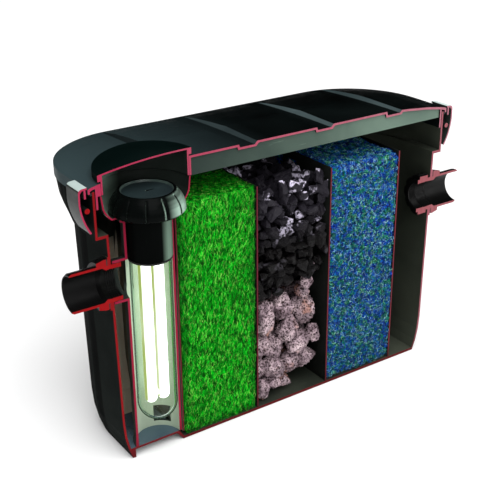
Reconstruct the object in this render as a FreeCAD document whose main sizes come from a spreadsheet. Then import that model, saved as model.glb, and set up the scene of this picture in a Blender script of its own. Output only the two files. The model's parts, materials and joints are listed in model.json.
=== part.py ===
"""Flow-through pond filter, shown with its near half cut away.

Millimetres. X runs along the box from the inlet end to the outlet end, Y goes back from the lengthwise
middle plane, and Z is up. The origin is the middle of the box's length, on the middle plane, at the
underside of the floor. Casings are drawn whole and lose their near half last; the lamp unit stays whole.
"""
import FreeCAD, Part
import math
import os

import Sketcher

Vector = FreeCAD.Vector
doc = FreeCAD.newDocument("pond_filter")

# ---------------------------------------------------------------- driving dimensions

DIMENSIONS = {
    # casing plan, as half lengths and half depths of rounded rectangles
    "body_half_long": 214.3,
    "body_half_deep": 135.6,
    "body_corner": 79.6,
    "body_draft": 4.06,
    "foot_inset": 8.5,
    "foot_rise": 46.0,
    "rim_offset": 11.2,
    "wall": 2.4,
    "floor": 3.0,
    "ledge_top": 262.5,
    "rim_top": 308.7,
    "lamp_floor": 10.0,
    "recess_west": -197.2,
    "recess_east": -146.0,
    "recess_slope": 8.0,
    "recess_half_deep": 60.0,
    # ports
    "port_height": 210.5,
    "boss_face": 215.0,
    "boss_long": 12.0,
    "boss_radius": 29.0,
    "spigot_radius": 20.4,
    "spigot_bore": 15.6,
    "tail_radius": 21.3,
    "tail_bore": 18.6,
    "tail_end": 256.0,
    "flange_radius": 27.2,
    "gasket_thick": 1.2,
    "gasket_radius": 26.4,
    "inlet_spigot_end": 200.5,
    "inlet_seal_start": 203.0,
    "inlet_seal_end": 206.0,
    "inlet_seal_thick": 0.6,
    "outlet_spigot_end": 192.0,
    "nut_start": 195.0,
    "nut_thick": 12.5,
    "nut_radius": 25.5,
    "nut_notch_at": 28.0,
    "nut_notch_radius": 4.2,
    # lid
    "lid_top": 323.4,
    "lid_plate": 2.3,
    "lid_lip_bottom": 300.5,
    "lip_notch_bottom": 307.2,
    "lip_notch_half_wide": 32.5,
    "lid_lip": 2.0,
    "lid_lip_offset": 4.2,
    "skirt_bottom": 290.0,
    "skirt_gap": 1.0,
    "skirt_thick": 2.0,
    "groove_deep": 3.2,
    "groove_wide": 24.0,
    "groove_floor_bend": 1915.0,
    "rib_bottom": 302.0,
    "rib_front": 2.0,
    "rib_thick": 3.0,
    "lid_seal_high": 2.6,
    "lid_seal_drop": 3.4,
    # lamp
    "lamp_x": -168.0,
    "collar_bore": 48.3,
    "collar_outer": 50.5,
    "collar_bottom": 303.2,
    "cover_skirt": 48.0,
    "cover_brim": 51.2,
    "cover_wall": 1.7,
    "cover_low": 323.2,
    "cover_high": 331.6,
    "cover_brim_thick": 6.2,
    "tube_bore": 25.2,
    "tube_wall": 2.5,
    "tube_top": 275.2,
    "tube_lip": 3.4,
    "bowl_radius": 49.6,
    "bowl_top": 302.7,
    "bowl_wall": 1.6,
    "bowl_seal_thick": 0.8,
    "cap_radius": 37.8,
    "cap_top": 300.0,
    "cap_bottom": 278.2,
    "cap_dish_deep": 2.0,
    "cap_groove_deep": 1.0,
    "cap_groove_wide": 1.8,
    "sleeve_radius": 22.9,
    "sleeve_bottom": 229.6,
    "quartz_radius": 21.4,
    "quartz_wall": 1.6,
    "quartz_bottom": 41.0,
    "quartz_top": 266.0,
    "socket_radius": 19.0,
    "socket_bottom": 246.0,
    "lamp_base_bottom": 224.0,
    "lamp_tube_radius": 6.5,
    "lamp_tube_pitch": 14.6,
    "lamp_bottom": 62.0,
    # chambers
    "partition_pitch": 99.2,
    "partition_first": -138.6,
    "partition_thick": 1.7,
    "partition_top": 273.6,
    "fill_gap": 6.2,
    "side_gap": 0.4,
    "mat_edge_round": 8.0,
    "stones_top": 130.0,
    "low_windows": 12.0,
    "high_windows": 250.0,
    "lamp_windows": 240.0,
    # latches
    "pivot_x": 231.6,
    "pivot_z": 291.0,
    "pin_radius": 2.7,
    "latch_half_wide": 25.5,
    "latch_wall": 1.7,
    "ear_end": 31.0,
    "ear_thick": 4.2,
    "cheek_thick": 2.2,
    "pin_play": 0.08,
}

sheet = doc.addObject("Spreadsheet::Sheet", "sizes")
for row, (alias, number) in enumerate(DIMENSIONS.items(), start=1):
    sheet.set(f"A{row}", alias)
    sheet.set(f"B{row}", str(number))
    sheet.setAlias(f"B{row}", alias)
doc.recompute()


class Size:
    """A length worked out from the sheet: its value now, and the expression that keeps it bound."""

    def __init__(self, text, value):
        self.text = text
        self.value = value

    def combine(self, other, sign, swap=False):
        other = as_size(other)
        first, second = (other, self) if swap else (self, other)
        results = {
            "+": first.value + second.value,
            "-": first.value - second.value,
            "*": first.value * second.value,
            "/": first.value / second.value if second.value else 0.0,
        }
        return Size(f"({first.text} {sign} {second.text})", results[sign])

    def __add__(self, other):
        return self.combine(other, "+")

    def __radd__(self, other):
        return self.combine(other, "+", swap=True)

    def __sub__(self, other):
        return self.combine(other, "-")

    def __rsub__(self, other):
        return self.combine(other, "-", swap=True)

    def __mul__(self, other):
        return self.combine(other, "*")

    def __rmul__(self, other):
        return self.combine(other, "*", swap=True)

    def __truediv__(self, other):
        return self.combine(other, "/")

    def __neg__(self):
        return self * -1.0


def as_size(number):
    return number if isinstance(number, Size) else Size(f"{float(number):.6f}", float(number))


def dim(alias):
    return Size(f"sizes.{alias}", float(sheet.get(alias)))


def bind(thing, prop, number):
    """Set a property and keep it bound to the sheet."""
    thing.setExpression(prop, as_size(number).text)


# ---------------------------------------------------------------- sketches and features

HORIZONTAL, UPRIGHT_LONG, UPRIGHT_DEEP = "XY_Plane", "XZ_Plane", "YZ_Plane"
CLOCKWISE, ANTICLOCKWISE = -1, 1


def new_body(name):
    body = doc.addObject("PartDesign::Body", name)
    body.Label = name
    return body


def origin_feature(body, role):
    return next(item for item in body.Origin.OriginFeatures if item.Role == role)


def new_sketch(body, name, role, shift=(0.0, 0.0, 0.0)):
    """Sketch on one of the body's origin planes, shifted along the sketch's own axes."""
    sketch = body.newObject("Sketcher::SketchObject", name)
    sketch.AttachmentSupport = [(origin_feature(body, role), "")]
    sketch.MapMode = "FlatFace"
    for axis, number in zip("xyz", shift):
        if isinstance(number, Size) or number:
            bind(sketch, f"AttachmentOffset.Base.{axis}", number)
    return sketch


def constrain(sketch, kind, *where, number):
    index = sketch.addConstraint(Sketcher.Constraint(kind, *where, as_size(number).value))
    bind(sketch, f"Constraints[{index}]", number)


def pin_point(sketch, edge, end, point):
    constrain(sketch, "DistanceX", -1, 1, edge, end, number=point[0])
    constrain(sketch, "DistanceY", -1, 1, edge, end, number=point[1])


def arc_between(start, end, radius, turn):
    """The short arc from start to end, and whether it was drawn from end to start."""
    chord = end - start
    middle = (start + end) * 0.5
    left = Vector(-chord.y, chord.x, 0).normalize()
    reach = math.sqrt(max(radius ** 2 - (chord.Length / 2) ** 2, 0.0))
    centre = middle + left * reach * turn
    first, last = (start, end) if turn == ANTICLOCKWISE else (end, start)
    from_angle = math.atan2(first.y - centre.y, first.x - centre.x)
    to_angle = math.atan2(last.y - centre.y, last.x - centre.x)
    circle = Part.Circle(centre, Vector(0, 0, 1), radius)
    return Part.ArcOfCircle(circle, from_angle, to_angle), turn == CLOCKWISE


def draw_outline(sketch, corners):
    """Closed outline. A corner is (x, y), or (x, y, radius, turn) where an arc leads to the next one."""
    points = [Vector(as_size(c[0]).value, as_size(c[1]).value, 0) for c in corners]
    ends = []
    for number, corner in enumerate(corners):
        start = points[number]
        end = points[(number + 1) % len(points)]
        backwards = False
        if len(corner) == 4:
            shape, backwards = arc_between(start, end, as_size(corner[2]).value, corner[3])
        else:
            shape = Part.LineSegment(start, end)
        edge = sketch.addGeometry(shape, False)
        ends.append((edge, 2, 1) if backwards else (edge, 1, 2))
    for number, corner in enumerate(corners):
        edge, first, last = ends[number]
        following, entry, _ = ends[(number + 1) % len(ends)]
        sketch.addConstraint(Sketcher.Constraint("Coincident", edge, last, following, entry))
        pin_point(sketch, edge, first, corner)
        if len(corner) == 4:
            constrain(sketch, "Radius", edge, number=corner[2])


def draw_circle(sketch, centre, radius):
    place = Vector(as_size(centre[0]).value, as_size(centre[1]).value, 0)
    edge = sketch.addGeometry(Part.Circle(place, Vector(0, 0, 1), as_size(radius).value), False)
    pin_point(sketch, edge, 3, centre)
    constrain(sketch, "Radius", edge, number=radius)


def draw_box(sketch, west, east, low, high):
    draw_outline(sketch, [(west, low), (east, low), (east, high), (west, high)])


def draw_plan(sketch, half_long, half_deep, corner):
    """Rectangle with four round corners, centred on the sketch's origin."""
    inner_long = half_long - corner
    inner_deep = half_deep - corner
    draw_outline(sketch, [
        (-inner_long, -half_deep),
        (inner_long, -half_deep, corner, ANTICLOCKWISE),
        (half_long, -inner_deep),
        (half_long, inner_deep, corner, ANTICLOCKWISE),
        (inner_long, half_deep),
        (-inner_long, half_deep, corner, ANTICLOCKWISE),
        (-half_long, inner_deep),
        (-half_long, -inner_deep, corner, ANTICLOCKWISE),
    ])


def checked(body, feature, added):
    """Recompute, and stop if the feature failed or changed the volume the wrong way."""
    before = body.Shape.Volume if not body.Shape.isNull() else 0.0
    body.Tip = feature
    doc.recompute()
    if feature.Shape.isNull() or "Invalid" in feature.State:
        raise RuntimeError(f"{body.Label}: {feature.Name} failed: {feature.State}")
    change = feature.Shape.Volume - before
    if added and change <= 0 or not added and change >= 0:
        raise RuntimeError(f"{body.Label}: {feature.Name} changed the volume by {change:.1f}")
    return feature


def pad(body, sketch, length, both_ways=False, flip=False):
    feature = body.newObject("PartDesign::Pad", f"{sketch.Name}_pad")
    feature.Profile = sketch
    feature.Midplane = both_ways
    feature.Reversed = flip
    bind(feature, "Length", length)
    return checked(body, feature, added=True)


def pocket(body, sketch, length=None, both_ways=False, flip=False):
    feature = body.newObject("PartDesign::Pocket", f"{sketch.Name}_pocket")
    feature.Profile = sketch
    feature.Midplane = both_ways
    feature.Reversed = flip
    if length is None:
        feature.Type = "ThroughAll"
    else:
        bind(feature, "Length", length)
    return checked(body, feature, added=False)


def turn(body, sketch, axis="V_Axis", angle=360.0, cut=False):
    kind = "PartDesign::Groove" if cut else "PartDesign::Revolution"
    feature = body.newObject(kind, f"{sketch.Name}_turn")
    feature.Profile = sketch
    feature.ReferenceAxis = (sketch, [axis])
    feature.Midplane = angle < 360.0
    feature.Angle = angle
    return checked(body, feature, added=not cut)


def loft(body, sections, cut=False):
    kind = "PartDesign::SubtractiveLoft" if cut else "PartDesign::AdditiveLoft"
    feature = body.newObject(kind, f"{sections[0].Name}_loft")
    feature.Profile = sections[0]
    feature.Sections = sections[1:]
    feature.Ruled = True
    return checked(body, feature, added=not cut)


def round_edges(body, radius, wanted):
    """Fillet the edges of the tip whose middle point passes the test."""
    tip = body.Tip
    names = [
        f"Edge{number}"
        for number, edge in enumerate(tip.Shape.Edges, start=1)
        if wanted(edge.valueAt((edge.FirstParameter + edge.LastParameter) / 2), edge)
    ]
    feature = body.newObject("PartDesign::Fillet", f"{body.Name}_round{len(body.Group)}")
    feature.Base = (tip, names)
    bind(feature, "Radius", radius)
    body.Tip = feature
    doc.recompute()
    return feature


# how far cutting shapes reach: beyond the whole filter, and just past the face that they cut
FAR = 400.0
BELOW = -50.0
PAST = 1.0


def cut_away(body):
    """Take off everything on the near side of the lengthwise middle plane."""
    sketch = new_sketch(body, f"{body.Name}_cutaway", UPRIGHT_LONG)
    draw_box(sketch, -FAR, FAR, BELOW, FAR)
    return pocket(body, sketch, flip=True)


# ---------------------------------------------------------------- shared sizes

wall = dim("wall")
rim_long = dim("body_half_long") + dim("rim_offset")
rim_deep = dim("body_half_deep") + dim("rim_offset")
rim_corner = dim("body_corner") + dim("rim_offset")
lamp_x = dim("lamp_x")
port_z = dim("port_height")
foot_rise = dim("foot_rise")
draft_per_mm = dim("body_draft") / (dim("ledge_top") - foot_rise)


# ---------------------------------------------------------------- housing

# the foot's slope: share of the foot's rise, and share of its inset
FOOT_CURVE = ((0.0, 1.0), (0.3, 0.47), (0.62, 0.13), (1.0, 0.0))
# the rim's corners: height above the rim's lower end, and what is added to their radius; they swell out
# to the lid's lip and step back in under it
RIM_CORNERS = ((0.0, 28.0), (5.5, 20.4), (14.5, 5.8), (21.5, -2.7), (31.0, -7.2), (39.2, -10.6), (40.0, 0.0))

# an ear's corners: out from the rim, the pin and the rim again, and up from the pin
EAR_OUTLINE = ((-1.0, -17.5), (4.8, -3.0), (4.8, 4.0), (-1.0, 12.0))


def casing_sections(body, name, inset, floor, top):
    """Plans of the lower box from its floor up: the levels of the rounded foot, then the ledge."""
    curve = [(foot_rise * share, dim("foot_inset") * left) for share, left in FOOT_CURVE]
    first_share, first_left = FOOT_CURVE[1]
    floor_left = 1.0 - (1.0 - first_left) / first_share * (floor / foot_rise)
    levels = [(floor, dim("foot_inset") * floor_left)] + curve[1:] + [(top, as_size(0))]
    sections = []
    for number, (height, foot_inset) in enumerate(levels):
        offset = inset + foot_inset + draft_per_mm * (dim("ledge_top") - height)
        sketch = new_sketch(body, f"{name}{number}", HORIZONTAL, (0, 0, height))
        draw_plan(
            sketch,
            dim("body_half_long") - offset,
            dim("body_half_deep") - offset,
            dim("body_corner") - offset,
        )
        sections.append(sketch)
    return sections


def rim_sections(body, name, inset, low, top, swollen):
    """Plans of the rim. Going down, its corners draw in until they meet the lower box's corners."""
    sections = []
    for number, (rise, drawn_in) in enumerate(RIM_CORNERS + ((None, 0.0),)):
        height = top if rise is None else low + rise
        sketch = new_sketch(body, f"{name}{number}", HORIZONTAL, (0, 0, height))
        corner = rim_corner - inset + (drawn_in if swollen else max(drawn_in, 0.0))
        draw_plan(sketch, rim_long - inset, rim_deep - inset, corner)
        sections.append(sketch)
    return sections


def make_housing():
    body = new_body("housing")
    loft(body, casing_sections(body, "outside", as_size(0), as_size(0), dim("ledge_top")))

    rim_low = dim("ledge_top") - dim("floor")
    loft(body, rim_sections(body, "rim_outside", as_size(0), rim_low, dim("rim_top"), True))

    boss_start = dim("boss_face") - dim("boss_long")
    for side, flip in ((-1, True), (1, False)):
        boss = new_sketch(body, f"boss{side + 1}", UPRIGHT_DEEP, (0, 0, side * boss_start))
        draw_circle(boss, (0, port_z), dim("boss_radius"))
        pad(body, boss, dim("boss_long"), flip=flip)

    loft(body, casing_sections(body, "inside", wall, dim("floor"), dim("ledge_top") + 0.01), cut=True)
    rim_end = dim("rim_top") + PAST
    loft(body, rim_sections(body, "rim_inside", wall, dim("ledge_top"), rim_end, False), cut=True)

    recess_low = dim("recess_east") + dim("recess_slope")
    raised = dim("lamp_floor") + wall
    platform = new_sketch(body, "lamp_platform", UPRIGHT_LONG)
    draw_outline(platform, [
        (dim("recess_west") - wall - 0.4, 1.0),
        (recess_low + wall, 1.0),
        (dim("recess_east") + wall, raised),
        (dim("recess_west") - wall * 2 - 2.0, raised),
    ])
    pad(body, platform, 2 * (dim("recess_half_deep") + wall), both_ways=True)
    recess = new_sketch(body, "lamp_recess", UPRIGHT_LONG)
    draw_outline(recess, [
        (dim("recess_west"), -PAST),
        (recess_low + PAST, -PAST),
        (recess_low, 0.0),
        (dim("recess_east"), dim("lamp_floor")),
        (dim("recess_west"), dim("lamp_floor")),
    ])
    pocket(body, recess, 2 * dim("recess_half_deep"), both_ways=True)

    for side, flip in ((-1, False), (1, True)):
        hole = new_sketch(body, f"port{side + 1}", UPRIGHT_DEEP, (0, 0, side * dim("nut_start")))
        draw_circle(hole, (0, port_z), dim("spigot_radius"))
        pocket(body, hole, dim("boss_face") - dim("nut_start") + PAST, flip=flip)
    cut_away(body)

    for side in (-1, 1):
        ear = new_sketch(body, f"ear{side + 1}", UPRIGHT_LONG, (0, 0, -dim("ear_end")))
        starts = (rim_long, dim("pivot_x"), dim("pivot_x"), rim_long)
        draw_outline(ear, [
            (side * (start + out), dim("pivot_z") + rise)
            for start, (out, rise) in zip(starts, EAR_OUTLINE)
        ])
        pad(body, ear, dim("ear_thick"))
        bore = new_sketch(body, f"ear_bore{side + 1}", UPRIGHT_LONG, (0, 0, -dim("ear_end")))
        draw_circle(bore, (side * dim("pivot_x"), dim("pivot_z")), dim("pin_radius"))
        pocket(body, bore, dim("ear_thick") + PAST, flip=True)
    return body


# ---------------------------------------------------------------- lid

# middle of each cross groove, and how far the lid has fallen there
GROOVES = ((-148.5, 1.2), (-48.9, 0.0), (50.9, 0.0), (149.7, 1.2))
GROOVE_SWING = 20.0
# a groove's floor stops short of its width by these, and its sides flare by these at this height
GROOVE_FLOOR_WEST, GROOVE_FLOOR_EAST = 1.5, 4.5
GROOVE_FLARE_WEST, GROOVE_FLARE_EAST = 1.0, 2.5
GROOVE_HIGH = 7.0
# how the lid rises from its lip: distance in from the lip's face, and height below the top
LID_RISE = ((0.0, 11.6), (2.0, 10.4), (10.0, 8.6), (30.0, 5.4), (62.0, 2.2), (84.0, 0.6), (90.0, 0.0))


def lid_slab(name, inset, drop, bottom):
    """The lid's outside, or, inset and dropped, the hollow under it."""
    body = new_body(name)
    levels = [(0.0, bottom)] + [(run, dim("lid_top") - drop - fall) for run, fall in LID_RISE]
    sections = []
    for number, (run, height) in enumerate(levels):
        lip = dim("lid_lip_offset") - inset - run
        plan = new_sketch(body, f"{name}_plan{number}", HORIZONTAL, (0, 0, height))
        draw_plan(plan, rim_long + lip, rim_deep + lip, rim_corner + lip)
        sections.append(plan)
    loft(body, sections)

    groove_axis = dim("lid_top") - drop - dim("groove_deep") - dim("groove_floor_bend")
    grooves = new_sketch(body, f"{name}_grooves", UPRIGHT_LONG, (0, groove_axis, 0))
    half = dim("groove_wide") / 2 + inset
    for middle, fall in GROOVES:
        low = dim("groove_floor_bend") - fall
        draw_outline(grooves, [
            (middle - half + GROOVE_FLOOR_WEST, low),
            (middle + half - GROOVE_FLOOR_EAST, low),
            (middle + half + GROOVE_FLARE_EAST, low + GROOVE_HIGH),
            (middle - half - GROOVE_FLARE_WEST, low + GROOVE_HIGH),
        ])
    turn(body, grooves, axis="H_Axis", angle=GROOVE_SWING, cut=True)
    return body


def near_half():
    """A block over everything on the near side of the middle plane."""
    block = doc.addObject("Part::Box", "near_half")
    block.Length = 2 * FAR
    block.Width = FAR
    block.Height = FAR - BELOW
    block.Placement = FreeCAD.Placement(Vector(-FAR, -FAR, BELOW), FreeCAD.Rotation())
    return block


def boolean(kind, name, first, second):
    """Part::Cut or Part::Common of two objects, or Part::MultiFuse of a list."""
    result = doc.addObject(f"Part::{kind}", name)
    if kind == "MultiFuse":
        result.Shapes = [first] + second
    else:
        result.Base = first
        result.Tool = second
    result.Label = name
    doc.recompute()
    return result


def lip_notches():
    """What the lip leaves out at both ends, where the clips reach in under it."""
    body = new_body("lip_notches")
    for side in (-1, 1):
        notch = new_sketch(body, f"lip_notch{side + 1}", UPRIGHT_LONG)
        inner = side * (rim_long + 0.4)
        outer = side * (rim_long + dim("lid_lip_offset") + 5)
        west, east = (inner, outer) if side > 0 else (outer, inner)
        draw_box(notch, west, east, dim("lid_lip_bottom") - 5, dim("lip_notch_bottom"))
        pad(body, notch, 2 * dim("lip_notch_half_wide"), both_ways=True)
    return body


def make_lid():
    outside = lid_slab("lid_outside", as_size(0), as_size(0), dim("lid_lip_bottom"))
    hollow = lid_slab("lid_hollow", dim("lid_lip"), dim("lid_plate"), dim("skirt_bottom"))
    trim = lid_slab("lid_trim", as_size(1.0), as_size(1.0), dim("skirt_bottom") - 5)
    shell = boolean("Cut", "lid_shell", outside, hollow)

    skirt_inset = wall + dim("skirt_gap")
    skirt = new_body("lid_skirt")
    height = dim("lid_top") - dim("skirt_bottom")
    ring = new_sketch(skirt, "skirt_outside", HORIZONTAL, (0, 0, dim("skirt_bottom")))
    draw_plan(ring, rim_long - skirt_inset, rim_deep - skirt_inset, rim_corner - skirt_inset)
    pad(skirt, ring, height)
    inside = new_sketch(skirt, "skirt_inside", HORIZONTAL, (0, 0, dim("skirt_bottom")))
    inner = skirt_inset + dim("skirt_thick")
    draw_plan(inside, rim_long - inner, rim_deep - inner, rim_corner - inner)
    pocket(skirt, inside, height, flip=True)

    collar = new_body("lid_collar")
    round_wall = new_sketch(collar, "collar_wall", HORIZONTAL, (0, 0, dim("collar_bottom")))
    draw_circle(round_wall, (lamp_x, 0), dim("collar_outer"))
    pad(collar, round_wall, dim("lid_top") - dim("collar_bottom"))

    rib = new_body("lid_rib")
    plates = new_sketch(rib, "rib_plates", UPRIGHT_DEEP)
    for side in (-1, 1):
        front = side * dim("rib_front")
        back = side * (dim("rib_front") + dim("rib_thick"))
        draw_box(plates, *((front, back) if side > 0 else (back, front)), dim("rib_bottom"), dim("lid_top"))
    rib_west = lamp_x + dim("collar_outer") - 1.0
    plates.setExpression("AttachmentOffset.Base.z", rib_west.text)
    pad(rib, plates, rim_long - skirt_inset - 1.0 - rib_west)

    web = new_body("lid_web")
    fill = new_sketch(web, "web_fill", UPRIGHT_LONG)
    draw_box(fill, skirt_inset - rim_long + 0.5, lamp_x - dim("collar_outer") + 2,
             dim("collar_bottom"), dim("lid_top"))
    pad(web, fill, 40, both_ways=True)

    inner_parts = boolean("MultiFuse", "lid_inner_parts", skirt, [collar, rib, web])
    trimmed = boolean("Common", "lid_inner_trimmed", inner_parts, trim)
    notched = boolean("Cut", "lid_notched", shell, lip_notches())
    whole = boolean("MultiFuse", "lid_whole", notched, [trimmed])
    hole = new_body("lid_lamp_hole")
    circle = new_sketch(hole, "lamp_hole", HORIZONTAL, (0, 0, dim("rib_bottom") - 30))
    draw_circle(circle, (lamp_x, 0), dim("collar_bore"))
    pad(hole, circle, 60)
    opened = boolean("Cut", "lid_opened", whole, hole)
    return boolean("Cut", "lid", opened, near_half())


def make_lid_seal():
    """Rubber strip in the channel between the lip and the skirt, just above the rim."""
    body = new_body("lid_seal")
    ring = new_sketch(body, "seal_outside", HORIZONTAL, (0, 0, dim("rim_top") - dim("lid_seal_drop")))
    outset = dim("lid_lip_offset") - dim("lid_lip")
    draw_plan(ring, rim_long + outset, rim_deep + outset, rim_corner + outset)
    pad(body, ring, dim("lid_seal_high"))
    hollow = new_sketch(body, "seal_inside", HORIZONTAL, (0, 0, dim("rim_top") - dim("lid_seal_drop")))
    side_gap = dim("side_gap")
    draw_plan(hollow, rim_long + side_gap, rim_deep + side_gap, rim_corner + side_gap)
    pocket(body, hollow, dim("lid_seal_high"), flip=True)
    cut_away(body)
    return body


# ---------------------------------------------------------------- lamp cover, bowl and tube

def round_body(name, outline, at_x=None):
    """A piece turned about an upright axis; the outline is (distance from the axis, height)."""
    body = new_body(name)
    sketch = new_sketch(body, f"{name}_section", UPRIGHT_LONG)
    draw_outline(sketch, outline)
    turn(body, sketch)
    if at_x is not None:
        bind(body, "Placement.Base.x", at_x)
    doc.recompute()
    return body


COVER_BEND = 520.0
COVER_CUT = 200.0
BRIM_START = 310.0
CORE_START = 290.0


def cover_block(name, radius, wall_in, bottom):
    """A round block whose top slopes up from the box's end, drawn about the lamp's axis."""
    body = new_body(name)
    disc = new_sketch(body, f"{name}_disc", HORIZONTAL, (0, 0, bottom))
    draw_circle(disc, (0, 0), radius)
    pad(body, disc, dim("cover_high") + 6 - bottom)
    slope = new_sketch(body, f"{name}_slope", UPRIGHT_LONG)
    reach = dim("cover_brim") + 3
    draw_outline(slope, [
        (-reach, dim("cover_low") - wall_in),
        (-reach, dim("cover_high") + 20),
        (reach, dim("cover_high") + 20),
        (reach, dim("cover_high") - wall_in, COVER_BEND, ANTICLOCKWISE),
    ])
    pocket(body, slope, COVER_CUT, both_ways=True)
    return body


def make_lamp_cover():
    brim = cover_block("cover_brim", dim("cover_brim"), as_size(0), as_size(BRIM_START))
    under = new_sketch(brim, "brim_underside", UPRIGHT_LONG)
    reach = dim("cover_brim") + 3
    draw_outline(under, [
        (-reach, CORE_START),
        (reach, CORE_START),
        (reach, dim("cover_high") - dim("cover_brim_thick")),
        (-reach, dim("cover_low") - dim("cover_brim_thick")),
    ])
    pocket(brim, under, COVER_CUT, both_ways=True)
    skirt = cover_block("cover_skirt", dim("cover_skirt"), as_size(1.0), dim("collar_bottom") + 0.6)
    core = cover_block("cover_core", dim("cover_skirt") - dim("cover_wall"), dim("cover_wall"),
                       as_size(CORE_START))
    outer = boolean("MultiFuse", "cover_outer", brim, [skirt])
    hollow = boolean("Cut", "cover_hollow", outer, core)
    bind(hollow, "Placement.Base.x", lamp_x)
    return boolean("Cut", "lamp_cover", hollow, near_half())


def make_lamp_cover_seal():
    body = round_body("lamp_cover_seal", [
        (dim("cover_skirt"), 307.5),
        (dim("collar_bore") - 0.05, 307.9),
        (dim("collar_bore") - 0.05, 309.6),
        (dim("cover_skirt"), 310.0),
    ])
    cut_away(body)
    bind(body, "Placement.Base.x", lamp_x)
    return body


def make_lamp_bowl():
    low = dim("tube_top") + dim("bowl_seal_thick")
    thick = dim("bowl_wall")
    body = round_body("lamp_bowl", [
        (dim("tube_bore") + dim("tube_wall") + 0.4, low),
        (dim("bowl_radius") - 10.5, low, 26, ANTICLOCKWISE),
        (dim("bowl_radius") - 1.6, low + 13),
        (dim("bowl_radius"), dim("bowl_top")),
        (dim("bowl_radius") - thick, dim("bowl_top")),
        (dim("bowl_radius") - thick - 1.6, low + 13.4, 24, CLOCKWISE),
        (dim("bowl_radius") - thick - 9.4, low + 1.7),
        (dim("tube_bore") + dim("tube_wall") + 0.4, low + 1.7),
    ])
    cut_away(body)
    bind(body, "Placement.Base.x", lamp_x)
    return body


# the tube's outlet windows: from and to across, and from and to above its foot
BACK_WINDOW = (7.0, 22.0, 6.0, 26.0)
SIDE_WINDOW = (6.0, 18.0, 4.0, 28.0)
WINDOW_CUT = 60.0
# the collar round the inlet: its wall and its reach out from the tube
INLET_COLLAR_WALL = 3.2
INLET_COLLAR_LONG = 15.6


def make_lamp_tube():
    """Upright round chamber with a lip for the bowl, the inlet's collar and two outlet windows."""
    bore = dim("tube_bore")
    outer = bore + dim("tube_wall")
    foot = dim("lamp_floor") + wall
    body = new_body("lamp_tube")
    section = new_sketch(body, "tube_section", UPRIGHT_LONG)
    draw_outline(section, [
        (bore, foot),
        (outer + 0.8, foot),
        (outer, foot + 16),
        (outer, dim("tube_top") - 4.4),
        (outer + dim("tube_lip"), dim("tube_top") - 3),
        (outer + dim("tube_lip"), dim("tube_top")),
        (bore, dim("tube_top")),
    ])
    turn(body, section)
    collar = new_sketch(body, "inlet_collar", UPRIGHT_DEEP, (0, 0, -(bore + 1.0)))
    draw_circle(collar, (0, port_z), dim("spigot_radius") + INLET_COLLAR_WALL)
    pad(body, collar, INLET_COLLAR_LONG, flip=True)
    mouth = new_sketch(body, "inlet_mouth", UPRIGHT_DEEP, (0, 0, -20))
    draw_circle(mouth, (0, port_z), dim("spigot_radius") + 0.6)
    pocket(body, mouth, 40)
    back = new_sketch(body, "back_window", UPRIGHT_LONG)
    draw_box(back, *BACK_WINDOW[:2], foot + BACK_WINDOW[2], foot + BACK_WINDOW[3])
    pocket(body, back, WINDOW_CUT)
    side = new_sketch(body, "side_window", UPRIGHT_DEEP)
    draw_box(side, *SIDE_WINDOW[:2], foot + SIDE_WINDOW[2], foot + SIDE_WINDOW[3])
    pocket(body, side, WINDOW_CUT)
    cut_away(body)
    bind(body, "Placement.Base.x", lamp_x)
    return body


def make_bowl_seal():
    outer = dim("tube_bore") + dim("tube_wall")
    body = round_body("bowl_seal", [
        (outer + 0.6, dim("tube_top")),
        (outer + dim("tube_lip"), dim("tube_top")),
        (outer + dim("tube_lip"), dim("tube_top") + dim("bowl_seal_thick")),
        (outer + 0.6, dim("tube_top") + dim("bowl_seal_thick")),
    ])
    cut_away(body)
    bind(body, "Placement.Base.x", lamp_x)
    return body


# ---------------------------------------------------------------- lamp unit

# the cap's side, from its lower edge: how far in from its radius, and how high
CAP_SIDE = ((0.0, 2.0), (0.3, 6.0), (1.3, 10.0), (2.9, 13.3), (5.2, 17.0), (7.9, 20.0))
CAP_RING = (9.3, 11.6)
CAP_DISH = 12.9
CAP_GROOVES = 12
VENT_RADIUS = 1.8


def make_lamp_cap():
    """Cap with a grooved side, a raised ring, a recessed disc and a small vent in its middle."""
    body = new_body("lamp_cap")
    radius = dim("cap_radius")
    top = dim("cap_top")
    low = dim("cap_bottom")
    section = new_sketch(body, "cap_section", UPRIGHT_LONG)
    dish = top - dim("cap_dish_deep")
    side = [(radius - inset, low + rise) for inset, rise in CAP_SIDE]
    draw_outline(section, [
        (0.0, low),
        (radius - 1.6, low),
    ] + side + [
        (radius - CAP_RING[0], top),
        (radius - CAP_RING[1], top),
        (radius - CAP_DISH, dish),
        (0.0, dish),
    ])
    turn(body, section)
    groove = new_sketch(body, "cap_groove", UPRIGHT_LONG)
    deep = dim("cap_groove_deep")
    draw_outline(groove, [
        (radius + PAST, low - PAST),
        (radius + PAST, side[-1][1]),
    ] + [(x - deep, z) for x, z in reversed(side)] + [
        (radius - deep, low - PAST),
    ])
    cut = pocket(body, groove, dim("cap_groove_wide"), both_ways=True)
    pattern = body.newObject("PartDesign::PolarPattern", "cap_grooves")
    pattern.Originals = [cut]
    pattern.Axis = (groove, ["V_Axis"])
    pattern.Angle = 360
    pattern.Occurrences = CAP_GROOVES
    checked(body, pattern, added=False)
    vent = new_sketch(body, "cap_vent", HORIZONTAL, (0, 0, dish))
    draw_circle(vent, (0, 0), VENT_RADIUS)
    pocket(body, vent, 5)
    slot = new_sketch(body, "cap_slot", HORIZONTAL, (0, 0, dish))
    draw_box(slot, 1.2, 7.5, -0.8, 0.8)
    pocket(body, slot, 0.9)
    bind(body, "Placement.Base.x", lamp_x)
    return body


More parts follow.
